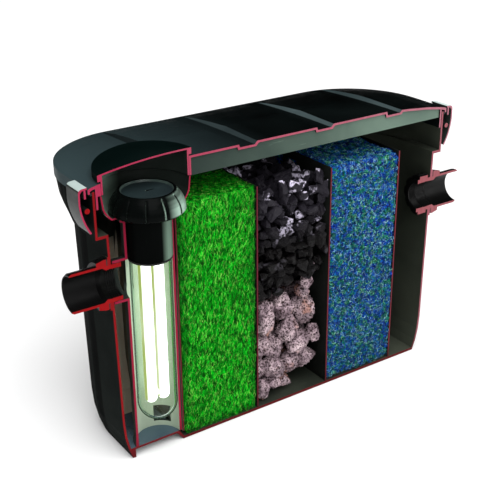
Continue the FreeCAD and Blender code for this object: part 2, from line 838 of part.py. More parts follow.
def make_lamp_sleeve():
    radius = dim("sleeve_radius")
    return round_body("lamp_sleeve", [
        (dim("quartz_radius") + 0.1, dim("sleeve_bottom")),
        (radius - 0.8, dim("sleeve_bottom")),
        (radius, dim("sleeve_bottom") + 1.0),
        (radius, dim("cap_bottom")),
        (dim("quartz_radius") + 0.1, dim("cap_bottom")),
    ], lamp_x)


def make_lamp_seal():
    radius = dim("sleeve_radius")
    low = dim("cap_bottom") - 3.6
    return round_body("lamp_seal", [
        (radius, low),
        (radius + 1.5, low + 0.6),
        (radius + 1.5, low + 2.4),
        (radius, low + 3.0),
    ], lamp_x)


def make_quartz_sleeve():
    """Clear tube with a domed lower end."""
    outer = dim("quartz_radius")
    inner = outer - dim("quartz_wall")
    low = dim("quartz_bottom")
    top = dim("quartz_top")
    return round_body("quartz_sleeve", [
        (0.0, low, outer, ANTICLOCKWISE),
        (outer, low + outer),
        (outer, top),
        (inner, top),
        (inner, low + outer, inner, CLOCKWISE),
        (0.0, low + dim("quartz_wall")),
    ], lamp_x)


def make_quartz_seal():
    outer = dim("quartz_radius")
    return round_body("quartz_seal", [
        (outer, dim("sleeve_bottom") - 2.2),
        (outer + 1.1, dim("sleeve_bottom") - 1.6),
        (outer + 1.1, dim("sleeve_bottom")),
        (outer, dim("sleeve_bottom")),
    ], lamp_x)


def make_lamp_socket():
    low = dim("socket_bottom")
    radius = dim("socket_radius")
    return round_body("lamp_socket", [
        (0.0, low),
        (radius - 2.0, low),
        (radius, low + 3.0),
        (radius, dim("cap_bottom")),
        (0.0, dim("cap_bottom")),
    ], lamp_x)


def make_uv_lamp():
    """Two glass tubes with round lower ends, joined by a short bridge."""
    body = new_body("uv_lamp")
    radius = dim("lamp_tube_radius")
    shift = dim("lamp_tube_pitch") / 2
    low = dim("lamp_bottom")
    for side in (-1, 1):
        tube = new_sketch(body, f"tube{side + 1}", HORIZONTAL, (0, 0, low))
        draw_circle(tube, (side * shift, 0), radius)
        pad(body, tube, dim("lamp_base_bottom") - low)
        if side < 0:
            bridge = new_sketch(body, "bridge", UPRIGHT_DEEP, (0, 0, -shift))
            draw_circle(bridge, (0, low + 9.5), 3.0)
            pad(body, bridge, 2 * shift)
    round_edges(body, radius - 0.6, lambda middle, edge: abs(middle.z - low.value) < 0.1)
    bind(body, "Placement.Base.x", lamp_x)
    return body


# half length, half depth and corner of the lamp's base
LAMP_BASE_PLAN = (15.4, 9.0, 8.0)


def make_uv_lamp_base():
    body = new_body("uv_lamp_base")
    plate = new_sketch(body, "base_plan", HORIZONTAL, (0, 0, dim("lamp_base_bottom")))
    draw_plan(plate, *LAMP_BASE_PLAN)
    pad(body, plate, dim("socket_bottom") - dim("lamp_base_bottom"))
    bind(body, "Placement.Base.x", lamp_x)
    return body


# ---------------------------------------------------------------- chambers

WINDOWS = 4
FIRST_WINDOW = 8.0
WINDOW_PITCH = 27.0
WINDOW_WIDE = 21.0
WINDOW_HIGH = 14.0


def chamber_outline(low, top, gap):
    """Half section of what fits inside the box, from the middle plane back: (depth, height)."""
    half_deep = dim("body_half_deep") - wall - gap
    outline = [(0.0, low)]
    if low.value < foot_rise.value:
        outline += [
            (half_deep - dim("body_draft") - dim("foot_inset"), low),
            (half_deep - dim("body_draft"), foot_rise),
        ]
    else:
        outline += [(half_deep - dim("body_draft"), low)]
    return outline + [(half_deep, top), (0.0, top)]


def make_partition(name, west, top, window_low, gap=0.4, platform_top=None, windows_from=0):
    """Upright plate across the box with a row of flow windows, cut to fit over the lamp's platform."""
    body = new_body(name)
    board = new_sketch(body, f"{name}_plate", UPRIGHT_DEEP, (0, 0, west))
    base = dim("floor") + 0.4
    corners = chamber_outline(base, top, gap)
    if platform_top is not None:
        step = dim("recess_half_deep") + wall + 0.4
        corners = [(0.0, platform_top), (step, platform_top), (step, base)] + corners[1:]
    draw_outline(board, corners)
    pad(body, board, dim("partition_thick"))
    windows = new_sketch(body, f"{name}_windows", UPRIGHT_DEEP, (0, 0, west))
    for number in range(windows_from, WINDOWS):
        near = FIRST_WINDOW + number * WINDOW_PITCH
        draw_box(windows, near, near + WINDOW_WIDE, window_low, window_low + WINDOW_HIGH)
    pocket(body, windows, dim("partition_thick") + 1, flip=True)
    return body


def make_fill(name, west, east, low, top, edge_round=None):
    """A mat or a heap of loose media, as the plain block of space that it fills."""
    body = new_body(name)
    section = new_sketch(body, f"{name}_section", UPRIGHT_DEEP, (0, 0, west))
    draw_outline(section, chamber_outline(low, top, dim("fill_gap")))
    pad(body, section, east - west)
    if edge_round is not None:
        round_edges(body, edge_round, lambda middle, edge: abs(middle.z - top.value) < 0.1 and middle.y > 1
                    and abs(middle.x - east.value) < 0.1)
    return body


# ---------------------------------------------------------------- ports

def turned_port_piece(name, side, outline):
    """Piece turned about a port's axis; the outline is (distance from the middle of the box, radius)."""
    body = new_body(name)
    sketch = new_sketch(body, f"{name}_section", UPRIGHT_LONG)
    points = [(side * c[0],) + tuple(c[1:]) for c in outline]
    draw_outline(sketch, points)
    turn(body, sketch, axis="H_Axis")
    cut_away(body)
    bind(body, "Placement.Base.z", port_z)
    return body


THREAD_TURNS = 5
THREAD_PITCH = 2.2
THREAD_DEEP = 0.7
FLANGE_THICK = 10.8


def make_hose_tail(name, side, spigot_end):
    """Smooth hose tail, flange and spigot in one piece, with a thread inside the spigot."""
    bore = dim("spigot_bore")
    face = dim("boss_face") + dim("gasket_thick")
    thread = []
    for number in range(THREAD_TURNS):
        at = spigot_end + 1.5 + number * THREAD_PITCH
        thread += [(at, bore), (at + THREAD_PITCH / 2, bore + THREAD_DEEP)]
    return turned_port_piece(name, side, [
        (spigot_end, dim("spigot_radius")),
        (spigot_end, bore),
    ] + thread + [
        (face + 1.0, bore),
        (face + 4.5, dim("tail_bore")),
        (dim("tail_end"), dim("tail_bore")),
        (dim("tail_end"), dim("tail_radius") - 1.6),
        (dim("tail_end") - 2.4, dim("tail_radius")),
        (face + FLANGE_THICK, dim("tail_radius")),
        (face + FLANGE_THICK, dim("flange_radius") - 2.0),
        (face + 3.0, dim("flange_radius")),
        (face, dim("flange_radius")),
        (face, dim("spigot_radius")),
    ])


def make_ring(name, side, inner_face, outer_face, bore, radius):
    return turned_port_piece(name, side, [
        (inner_face, bore),
        (outer_face, bore),
        (outer_face, radius),
        (inner_face, radius),
    ])


NUT_NOTCHES = 10


def make_outlet_lock_nut():
    body = new_body("outlet_lock_nut")
    start = dim("nut_start")
    thick = dim("nut_thick")
    ring = new_sketch(body, "nut_ring", UPRIGHT_DEEP, (0, 0, start))
    draw_circle(ring, (0, 0), dim("nut_radius"))
    pad(body, ring, thick)
    bore = new_sketch(body, "nut_bore", UPRIGHT_DEEP, (0, 0, start))
    draw_circle(bore, (0, 0), dim("spigot_radius"))
    pocket(body, bore, thick, flip=True)
    notch = new_sketch(body, "nut_notch", UPRIGHT_DEEP, (0, 0, start))
    draw_circle(notch, (0, dim("nut_notch_at")), dim("nut_notch_radius"))
    cut = pocket(body, notch, thick, flip=True)
    pattern = body.newObject("PartDesign::PolarPattern", "nut_notches")
    pattern.Originals = [cut]
    pattern.Axis = (notch, ["N_Axis"])
    pattern.Angle = 360
    pattern.Occurrences = NUT_NOTCHES
    checked(body, pattern, added=False)
    cut_away(body)
    bind(body, "Placement.Base.z", port_z)
    return body


# ---------------------------------------------------------------- latches

# radius of a clip's bowed back
CLIP_BOW = 70.0


def make_latch(name, side):
    """End clip: a bowed shell with an inward top, a stiffening leg and a cheek that turns on the pin."""
    body = new_body(name)
    px = dim("pivot_x")
    pz = dim("pivot_z")
    thick = dim("latch_wall")
    bend = ANTICLOCKWISE if side > 0 else CLOCKWISE
    back = -bend
    shell = [
        (px - 1.2, pz + 23.4),
        (px + 4.6, pz + 23.0, 4.2, back),
        (px + 8.0, pz + 19.0),
        (px + 8.3, pz + 8.0, CLIP_BOW, back),
        (px - 1.6, pz - 23.9),
        (px - 3.0, pz - 22.9, CLIP_BOW - thick, bend),
        (px + 8.3 - thick, pz + 8.0),
        (px + 8.0 - thick, pz + 18.2),
        (px + 4.2, pz + 21.0),
        (px + 2.3, pz + 21.2),
        (px + 2.3, pz + 12.5),
        (px + 0.3, pz + 12.5),
        (px + 0.3, pz + 21.4),
        (px - 1.2, pz + 21.4),
    ]
    section = new_sketch(body, f"{name}_shell", UPRIGHT_LONG)
    draw_outline(section, [(side * c[0],) + tuple(c[1:]) for c in shell])
    pad(body, section, 2 * dim("latch_half_wide"), both_ways=True)
    cheek = [
        (px + 0.3, pz + 12.5),
        (px + 0.3, pz + 21.0),
        (px + 5.0, pz + 21.0),
        (px + 7.0, pz + 18.0),
        (px + 7.2, pz + 8.0, CLIP_BOW - 1.0, back),
        (px - 1.9, pz - 22.2),
        (px - 2.4, pz - 10.0),
        (px - 3.6, pz - 4.0),
        (px - 3.6, pz + 4.0),
    ]
    for place, number in ((-1, 0), (1, 1)):
        start = dim("latch_half_wide") if place > 0 else dim("cheek_thick") - dim("latch_half_wide")
        plate = new_sketch(body, f"{name}_cheek{number}", UPRIGHT_LONG, (0, 0, -start))
        draw_outline(plate, [(side * c[0],) + tuple(c[1:]) for c in cheek])
        pad(body, plate, dim("cheek_thick"))
    bore = new_sketch(body, f"{name}_bore", UPRIGHT_LONG)
    draw_circle(bore, (side * px, pz), dim("pin_radius") + dim("pin_play"))
    pocket(body, bore, 2 * dim("latch_half_wide") + 2, both_ways=True)
    cut_away(body)
    return body


def make_latch_pin(name, side):
    body = new_body(name)
    circle = new_sketch(body, f"{name}_circle", UPRIGHT_LONG)
    draw_circle(circle, (side * dim("pivot_x"), dim("pivot_z")), dim("pin_radius"))
    pad(body, circle, dim("ear_end") + 0.8, flip=True)
    round_edges(body, as_size(0.6), lambda middle, edge: middle.y > 5)
    return body


# ---------------------------------------------------------------- the assembly

pitch = dim("partition_pitch")
first = dim("partition_first")
partition_top = dim("partition_top")
side_gap = dim("side_gap")
fill_low = dim("floor") + 2 * side_gap
port_face = dim("boss_face")
gasket_face = port_face + dim("gasket_thick")
spigot = dim("spigot_radius")


def chamber_west(number):
    return first + pitch * number + dim("partition_thick") + side_gap


def chamber_east(number):
    return first + pitch * (number + 1) - side_gap


NODES = [
    make_housing(),
    make_lid(),
    make_lid_seal(),
    make_lamp_cover(),
    make_lamp_cover_seal(),
    make_lamp_bowl(),
    make_bowl_seal(),
    make_lamp_tube(),
    make_lamp_cap(),
    make_lamp_sleeve(),
    make_lamp_seal(),
    make_quartz_sleeve(),
    make_quartz_seal(),
    make_lamp_socket(),
    make_uv_lamp(),
    make_uv_lamp_base(),
    make_partition("lamp_partition", first, dim("tube_top") - 5.6, dim("lamp_windows"),
                   platform_top=dim("lamp_floor"), windows_from=1),
    make_partition("mat_partition", first + pitch, partition_top, dim("low_windows")),
    make_partition("stone_partition", first + pitch * 2, partition_top, dim("high_windows"), windows_from=2),
    make_partition("outlet_partition", first + pitch * 3, partition_top, dim("low_windows"), gap=7.0),
    make_fill("green_mat", chamber_west(0), chamber_east(0), fill_low, partition_top),
    make_fill("blue_mat", chamber_west(2), chamber_east(2), fill_low, partition_top,
              edge_round=dim("mat_edge_round")),
    make_fill("stone_bed", chamber_west(1), chamber_east(1), fill_low, dim("stones_top")),
    make_fill("carbon_bed", chamber_west(1), chamber_east(1), dim("stones_top") + side_gap, partition_top),
    make_hose_tail("inlet_hose_tail", -1, dim("inlet_spigot_end")),
    make_ring("inlet_gasket", -1, port_face, gasket_face, spigot, dim("gasket_radius")),
    make_ring("inlet_seal", -1, dim("inlet_seal_start"), dim("inlet_seal_end"), spigot,
              spigot + dim("inlet_seal_thick")),
    make_hose_tail("outlet_hose_tail", 1, dim("outlet_spigot_end")),
    make_ring("outlet_gasket", 1, port_face, gasket_face, spigot, dim("gasket_radius")),
    make_outlet_lock_nut(),
    make_latch("left_latch", -1),
    make_latch("right_latch", 1),
    make_latch_pin("left_latch_pin", -1),
    make_latch_pin("right_latch_pin", 1),
]


def stop_on_faults():
    for thing in doc.Objects:
        if "Invalid" in thing.State or "Error" in thing.State:
            raise RuntimeError(f"{thing.Label} failed: {thing.State}")
    for node in NODES:
        if node.Shape.isNull() or not node.Shape.isValid():
            raise RuntimeError(f"{node.Label} has no valid shape")


doc.recompute()
stop_on_faults()
os.makedirs("parts", exist_ok=True)
for node in NODES:
    node.Shape.exportStep(f"parts/{node.Label}.step")
    print(node.Label, len(node.Shape.Solids), round(node.Shape.Volume / 1000, 2))
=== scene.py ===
"""Looks of the pond filter: finishes for the cut-away casings, and detailed mats, stones and carbon.

Metres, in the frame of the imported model: X along the box from the inlet end, Y back from the cut plane, Z up.
"""
import itertools
import json
import math

import bmesh
import bpy
import numpy as np
from mathutils import Matrix, Vector, noise


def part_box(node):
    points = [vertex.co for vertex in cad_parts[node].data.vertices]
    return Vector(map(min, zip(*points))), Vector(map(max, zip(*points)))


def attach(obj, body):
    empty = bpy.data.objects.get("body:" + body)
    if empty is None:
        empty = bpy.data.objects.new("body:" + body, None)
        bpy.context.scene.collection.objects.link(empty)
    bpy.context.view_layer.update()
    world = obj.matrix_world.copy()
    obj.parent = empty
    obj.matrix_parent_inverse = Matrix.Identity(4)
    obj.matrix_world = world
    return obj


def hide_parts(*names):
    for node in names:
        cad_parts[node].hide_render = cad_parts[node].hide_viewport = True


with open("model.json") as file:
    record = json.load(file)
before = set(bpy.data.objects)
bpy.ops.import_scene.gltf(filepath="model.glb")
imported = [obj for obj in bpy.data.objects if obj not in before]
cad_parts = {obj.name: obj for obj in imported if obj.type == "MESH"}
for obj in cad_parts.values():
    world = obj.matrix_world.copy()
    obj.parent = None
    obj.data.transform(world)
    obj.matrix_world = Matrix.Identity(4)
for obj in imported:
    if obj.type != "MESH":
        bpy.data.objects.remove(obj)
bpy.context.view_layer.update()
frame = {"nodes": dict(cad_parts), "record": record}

MM = 0.001
nodes = frame["nodes"]
scene = bpy.context.scene


def srgb(red, green, blue):
    """A colour given as it looks on a screen, 0 to 255, as linear light."""
    shares = (red / 255, green / 255, blue / 255)
    return tuple(((c + 0.055) / 1.055) ** 2.4 if c > 10 / 255 else c / 12.92 for c in shares)


# ---------------------------------------------------------------- camera, floor and lights

CAMERA_PLACE = (-0.5958, -0.7999, 0.6415)
CAMERA_TURN = math.radians(34.4)
CAMERA_DROP = math.radians(24.3)
CAMERA_ROLL = math.radians(-0.4)
CAMERA_LENS = 72.07
SENSOR_WIDTH = 36.0
NEAREST_SEEN = 0.01

SKY_STRENGTH = 0.5
FLOOR_SIZE = 8.0
FLOOR_DROP = 0.5 * MM
SUN_STRENGTH = 2.5
SUN_SOFTNESS = 0.9
SUN_HEADING = (0.15, 0.55, -1.0)

# soft lights: name, place, the point each one faces, width, height and power
AREA_LIGHTS = (
    ("overhead", (0.1, 0.1, 1.7), (0.0, 0.05, 0.0), 1.4, 1.1, 5.0),
    ("front", (-0.3, -1.6, 0.9), (0.0, 0.0, 0.15), 1.3, 0.9, 6.0),
    ("right_strip", (0.95, -0.75, 0.55), (-0.17, 0.0, 0.26), 0.14, 0.9, 3.5),
)


def add_camera():
    data = bpy.data.cameras.new("camera")
    data.lens = CAMERA_LENS
    data.sensor_width = SENSOR_WIDTH
    data.clip_start = NEAREST_SEEN
    camera = bpy.data.objects.new("camera", data)
    scene.collection.objects.link(camera)
    ahead = Vector((
        math.sin(CAMERA_TURN) * math.cos(CAMERA_DROP),
        math.cos(CAMERA_TURN) * math.cos(CAMERA_DROP),
        -math.sin(CAMERA_DROP),
    ))
    right = ahead.cross(Vector((0, 0, 1))).normalized()
    up = right.cross(ahead)
    rolled = Matrix.Rotation(-CAMERA_ROLL, 3, ahead)
    right, up = rolled @ right, rolled @ up
    camera.matrix_world = Matrix.Translation(CAMERA_PLACE) @ Matrix((right, up, -ahead)).transposed().to_4x4()
    scene.camera = camera


def add_sky():
    world = bpy.data.worlds.new("studio")
    world.use_nodes = True
    sky = world.node_tree.nodes["Background"]
    sky.inputs["Color"].default_value = (1.0, 1.0, 1.0, 1.0)
    sky.inputs["Strength"].default_value = SKY_STRENGTH
    scene.world = world
    world.cycles_visibility.glossy = False
    scene.view_settings.view_transform = "Standard"


def add_floor():
    bpy.ops.mesh.primitive_grid_add(
        x_subdivisions=8, y_subdivisions=8, size=FLOOR_SIZE, location=(0, 0, -FLOOR_DROP))
    floor = bpy.context.object
    floor.name = "studio_floor"
    graph = Graph("studio_floor")
    tone = graph.noise(3.0, 2.0)
    graph.colour(graph.ramp(tone, [(0.3, (0.86, 0.86, 0.86)), (0.7, (0.9, 0.9, 0.9))]))
    graph.set("Roughness", 0.9)
    graph.set("Specular IOR Level", 0.0)
    floor.data.materials.append(graph.material)


def add_light(name, data, place, heading):
    light = bpy.data.objects.new(name, data)
    scene.collection.objects.link(light)
    turn = heading.to_track_quat("-Z", "Y").to_matrix().to_4x4()
    light.matrix_world = Matrix.Translation(place) @ turn


def add_lights():
    sun = bpy.data.lights.new("soft_sun", "SUN")
    sun.energy = SUN_STRENGTH
    sun.angle = SUN_SOFTNESS
    add_light("soft_sun", sun, (0, 0, 0), Vector(SUN_HEADING))
    for name, place, target, width, height, power in AREA_LIGHTS:
        data = bpy.data.lights.new(name, "AREA")
        data.shape = "RECTANGLE"
        data.size = width
        data.size_y = height
        data.energy = power
        add_light(name, data, place, Vector(target) - Vector(place))


# ---------------------------------------------------------------- material helper

class Graph:
    """A material built round one Principled shader, with short calls for the nodes used here."""

    def __init__(self, name):
        self.material = bpy.data.materials.new(name)
        self.material.use_nodes = True
        self.tree = self.material.node_tree
        self.tree.nodes.clear()
        self.output = self.node("OutputMaterial")
        self.shader = self.node("BsdfPrincipled")
        self.link(self.shader.outputs[0], self.output.inputs["Surface"])
        self.place = self.node("TexCoord").outputs["Object"]

    def node(self, kind):
        return self.tree.nodes.new("ShaderNode" + kind)

    def link(self, source, target):
        self.tree.links.new(source, target)

    def feed(self, socket, value):
        if isinstance(value, bpy.types.NodeSocket):
            self.link(value, socket)
        elif isinstance(value, tuple):
            socket.default_value = value + (1.0,) * (len(socket.default_value) - len(value))
        else:
            socket.default_value = value

    def set(self, name, value):
        self.feed(self.shader.inputs[name], value)

    def colour(self, value):
        self.set("Base Color", value)

    def stretched(self, x=1.0, y=1.0, z=1.0, turn=(0.0, 0.0, 0.0)):
        mapping = self.node("Mapping")
        self.link(self.place, mapping.inputs["Vector"])
        mapping.inputs["Scale"].default_value = (x, y, z)
        mapping.inputs["Rotation"].default_value = turn
        return mapping.outputs[0]

    def noise(self, scale, detail=2.0, where=None, warp=0.0, rough=0.5):
        texture = self.node("TexNoise")
        self.link(where or self.place, texture.inputs["Vector"])
        texture.inputs["Scale"].default_value = scale
        texture.inputs["Detail"].default_value = detail
        texture.inputs["Roughness"].default_value = rough
        texture.inputs["Distortion"].default_value = warp
        return texture.outputs["Fac"]

    def cells(self, scale):
        texture = self.node("TexVoronoi")
        self.link(self.place, texture.inputs["Vector"])
        texture.inputs["Scale"].default_value = scale
        return texture.outputs["Distance"]

    def axis(self, name):
        split = self.node("SeparateXYZ")
        self.link(self.place, split.inputs[0])
        return split.outputs[name]

    def spread(self, value, low, high, to_low=0.0, to_high=1.0):
        remap = self.node("MapRange")
        self.link(value, remap.inputs["Value"])
        for socket, number in zip(("From Min", "From Max", "To Min", "To Max"), (low, high, to_low, to_high)):
            remap.inputs[socket].default_value = number
        return remap.outputs[0]

    def ramp(self, value, stops):
        ramp = self.node("ValToRGB")
        self.link(value, ramp.inputs["Fac"])
        elements = ramp.color_ramp.elements
        while len(elements) < len(stops):
            elements.new(0.5)
        for element, (position, colour) in zip(elements, stops):
            element.position = position
            element.color = tuple(colour) + (1.0,)
        return ramp.outputs["Color"]

    def mix(self, share, first, second):
        mix = self.node("Mix")
        mix.data_type = "RGBA"
        first_colour, second_colour = [socket for socket in mix.inputs if socket.type == "RGBA"]
        self.feed(mix.inputs["Factor"], share)
        self.feed(first_colour, first)
        self.feed(second_colour, second)
        return next(socket for socket in mix.outputs if socket.type == "RGBA")

    def math(self, kind, first, second):
        step = self.node("Math")
        step.operation = kind
        self.feed(step.inputs[0], first)
        self.feed(step.inputs[1], second)
        return step.outputs[0]

    def island(self):
        return self.node("NewGeometry").outputs["Random Per Island"]

    def rounded(self, radius):
        """The surface's direction, as if its edges had this radius."""
        bevel = self.node("Bevel")
        bevel.samples = 8
        bevel.inputs["Radius"].default_value = radius
        return bevel.outputs[0]

    def bump(self, height, distance, strength=1.0, under=None):
        bump = self.node("Bump")
        self.link(height, bump.inputs["Height"])
        bump.inputs["Distance"].default_value = distance
        bump.inputs["Strength"].default_value = strength
        if under is not None:
            self.link(under, bump.inputs["Normal"])
        self.link(bump.outputs[0], self.shader.inputs["Normal"])


# ---------------------------------------------------------------- plastics, rubber and paint

# where tones fade, most of them painted light and shade: along the box, up from its floor, and back from the
# cut plane
WEST_FADE = (-0.24, -0.02)
LOW_FADE = (0.185, 0.205)
BAND_FADE = (0.04, 0.07)
SECTION_FADE = (-0.2, 0.23)
SECTION_FOOT = (0.006, 0.03)

# the painted shade bands: how dark they are by how far back from the cut plane, and the black they are painted
# with
BAND_SHARES = ((0.0, 0.0), (0.16, 0.0), (0.24, 0.8), (0.68, 0.8), (0.76, 0.1), (0.86, 0.1), (0.96, 0.85))
BAND_BLACK = (0.0008, 0.001, 0.001)
# how round the edges are taken to be where the painted sheen is worked out
SHEEN_RADIUS = 2.5 * MM
PLASTIC_GRAIN = 0.12 * MM
SMOOTH_GRAIN = 0.02 * MM


def painted_shade_bands(graph, base):
    """Painted shade: black bands up a wall where it turns back from the cut plane."""
    back = graph.spread(graph.axis("Y"), *BAND_FADE)
    band = graph.ramp(back, [(place, (share, share, share)) for place, share in BAND_SHARES])
    return graph.mix(band, base, BAND_BLACK)


def painted_sheen_band(graph, soft, base, tone):
    """A painted highlight: a band of another tone where an upright round side turns to the right."""
    split = graph.node("SeparateXYZ")
    graph.link(soft, split.inputs[0])
    rise = graph.spread(split.outputs["X"], 0.08, 0.4)
    fall = graph.spread(split.outputs["X"], 0.62, 0.92, 1.0, 0.15)
    upright = graph.spread(graph.math("ABSOLUTE", split.outputs["Z"], 0.0), 0.3, 0.75, 1.0, 0.0)
    share = graph.math("MULTIPLY", graph.math("MULTIPLY", rise, fall), upright)
    return graph.mix(share, base, tone)


def moulded(name, dark, light, rough, gloss, grain=PLASTIC_GRAIN, west=None, fade=WEST_FADE, low=None,
            shade_bands=False, painted_sheen=None):
    """Moulded plastic: a fine spark-eroded grain, slow flow marks and a few handling scuffs.

    west is a painted light and shade tone that it fades to at the inlet end, between the two places in
    fade; low is a painted light tone that it fades to lower down; the bands flag puts black bands of
    painted shade where a wall turns back; the sheen tone is a painted highlight, an upright band where a
    round piece turns to the right.
    """
    graph = Graph(name)
    flow = graph.noise(9.0, 3.0, warp=0.6)
    base = graph.mix(graph.spread(flow, 0.35, 0.7), dark, light)
    # the west and low tones, the bands and the sheen below are painted light and shade
    if west is not None:
        base = graph.mix(graph.spread(graph.axis("X"), *fade, 1.0, 0.0), base, west)
    if low is not None:
        base = graph.mix(graph.spread(graph.axis("Z"), *LOW_FADE, 1.0, 0.0), base, low)
    if shade_bands:
        base = painted_shade_bands(graph, base)
    soft = None
    if painted_sheen is not None:
        soft = graph.rounded(SHEEN_RADIUS)
        base = painted_sheen_band(graph, soft, base, painted_sheen)
    scuffs = graph.noise(55.0, 5.0, graph.stretched(0.35, 1.0, 2.2, (0.3, 0.2, 0.6)), rough=0.7)
    mark = graph.spread(scuffs, 0.64, 0.8, 0.0, 0.35)
    paler = tuple(min(1.0, c * 1.7 + 0.004) for c in light)
    graph.colour(graph.mix(mark, base, paler))
    fine = graph.noise(1500.0, 2.0)
    graph.set("Roughness", graph.spread(graph.noise(30.0, 4.0), 0.3, 0.75, rough - 0.06, rough + 0.1))
    graph.set("Specular IOR Level", gloss)
    graph.bump(fine, grain, under=soft)
    return graph.material


def rubber():
    graph = Graph("black_rubber")
    dust = graph.noise(260.0, 4.0)
    graph.colour(graph.ramp(dust, [(0.35, (0.006, 0.006, 0.006)), (0.8, (0.03, 0.03, 0.028))]))
    graph.set("Roughness", 0.7)
    graph.set("Specular IOR Level", 0.25)
    graph.bump(graph.noise(900.0, 2.0), 0.0001)
    return graph.material


def section_paint(name, west, east, low=None):
    """Red paint on a cut face: deeper at the inlet end and paler at the outlet end, a painted reflection,
    darker at the foot where a low tone is given, and with faint saw lines.
    """
    graph = Graph(name)
    along = graph.spread(graph.axis("X"), *SECTION_FADE)
    colour = graph.mix(along, west, east)
    if low is not None:
        height = graph.spread(graph.axis("Z"), *SECTION_FOOT, 1.0, 0.0)
        colour = graph.mix(height, colour, low)
    brushed = graph.noise(240.0, 4.0, graph.stretched(1.0, 1.0, 0.2))
    colour = graph.mix(graph.spread(brushed, 0.3, 0.75, 0.0, 0.35), colour, tuple(c * 0.55 for c in west))
    graph.colour(colour)
    graph.set("Roughness", 0.55)
    graph.set("Specular IOR Level", 0.1)
    graph.bump(graph.noise(700.0, 2.0, graph.stretched(1.0, 1.0, 0.15)), 0.00008)
    return graph.material


QUARTZ_BEND = 1.07
# the heights over which the quartz's painted glow grows
QUARTZ_LIT = (0.045, 0.09)
LAMP_STRENGTH = 3.2
LAMP_FOOT = (0.062, 0.07)


def quartz():
    """Clear quartz: a thin wall that tints and shines more towards its edges, with a faint painted glow
    standing in for the lamp's light on it.
    """
    graph = Graph("clear_quartz")
    clear = graph.node("BsdfTransparent")
    shine = graph.node("BsdfGlossy")
    glow = graph.node("Emission")
    edge = graph.node("LayerWeight")
    edge.inputs["Blend"].default_value = 0.35
    streak = graph.noise(60.0, 2.0, graph.stretched(1.0, 1.0, 0.1))
    tint = graph.mix(edge.outputs["Facing"], srgb(253, 254, 252), srgb(240, 247, 239))
    graph.link(tint, clear.inputs["Color"])
    graph.link(graph.spread(streak, 0.3, 0.7, 0.03, 0.08), shine.inputs["Roughness"])
    shine.inputs["Color"].default_value = srgb(225, 240, 235) + (1.0,)
    # painted glow: the quartz is no lamp, and its emission stands in for the lamp's light on it
    painted_lamp_glow = graph.mix(graph.spread(streak, 0.35, 0.65), srgb(160, 176, 128), srgb(196, 208, 190))
    graph.link(painted_lamp_glow, glow.inputs["Color"])
    graph.link(graph.spread(graph.axis("Z"), *QUARTZ_LIT, 0.01, 0.036), glow.inputs["Strength"])
    blend = graph.node("MixShader")
    fresnel = graph.node("Fresnel")
    fresnel.inputs["IOR"].default_value = QUARTZ_BEND
    both = graph.node("AddShader")
    graph.link(fresnel.outputs[0], blend.inputs[0])
    graph.link(clear.outputs[0], blend.inputs[1])
    graph.link(shine.outputs[0], blend.inputs[2])
    graph.link(blend.outputs[0], both.inputs[0])
    graph.link(glow.outputs[0], both.inputs[1])
    graph.tree.nodes.remove(graph.shader)
    graph.link(both.outputs[0], graph.output.inputs["Surface"])
    return graph.material


def lamp_light():
    """Lit lamp glass: white, with yellow-green flanks and foot."""
    graph = Graph("lit_lamp")
    split = graph.node("SeparateXYZ")
    graph.link(graph.node("NewGeometry").outputs["Normal"], split.inputs[0])
    flank = graph.spread(graph.math("ABSOLUTE", split.outputs["X"], 0.0), 0.72, 0.92)
    cloud = graph.noise(40.0, 2.0, graph.stretched(1.0, 1.0, 0.3))
    foot = graph.spread(graph.axis("Z"), *LAMP_FOOT, 0.6, 0.0)
    clouded = graph.spread(cloud, 0.2, 0.6, 0.85, 1.0)
    tint = graph.math("MAXIMUM", graph.math("MULTIPLY", flank, clouded), foot)
    white = (1.0, 1.02, 1.06)
    olive = tuple(c / LAMP_STRENGTH for c in srgb(150, 168, 70))
    graph.colour((0.05, 0.05, 0.05))
    graph.set("Emission Color", graph.mix(tint, white, olive))
    graph.set("Emission Strength", LAMP_STRENGTH)
    graph.set("Roughness", 0.3)
    graph.set("Specular IOR Level", 0.1)
    return graph.material


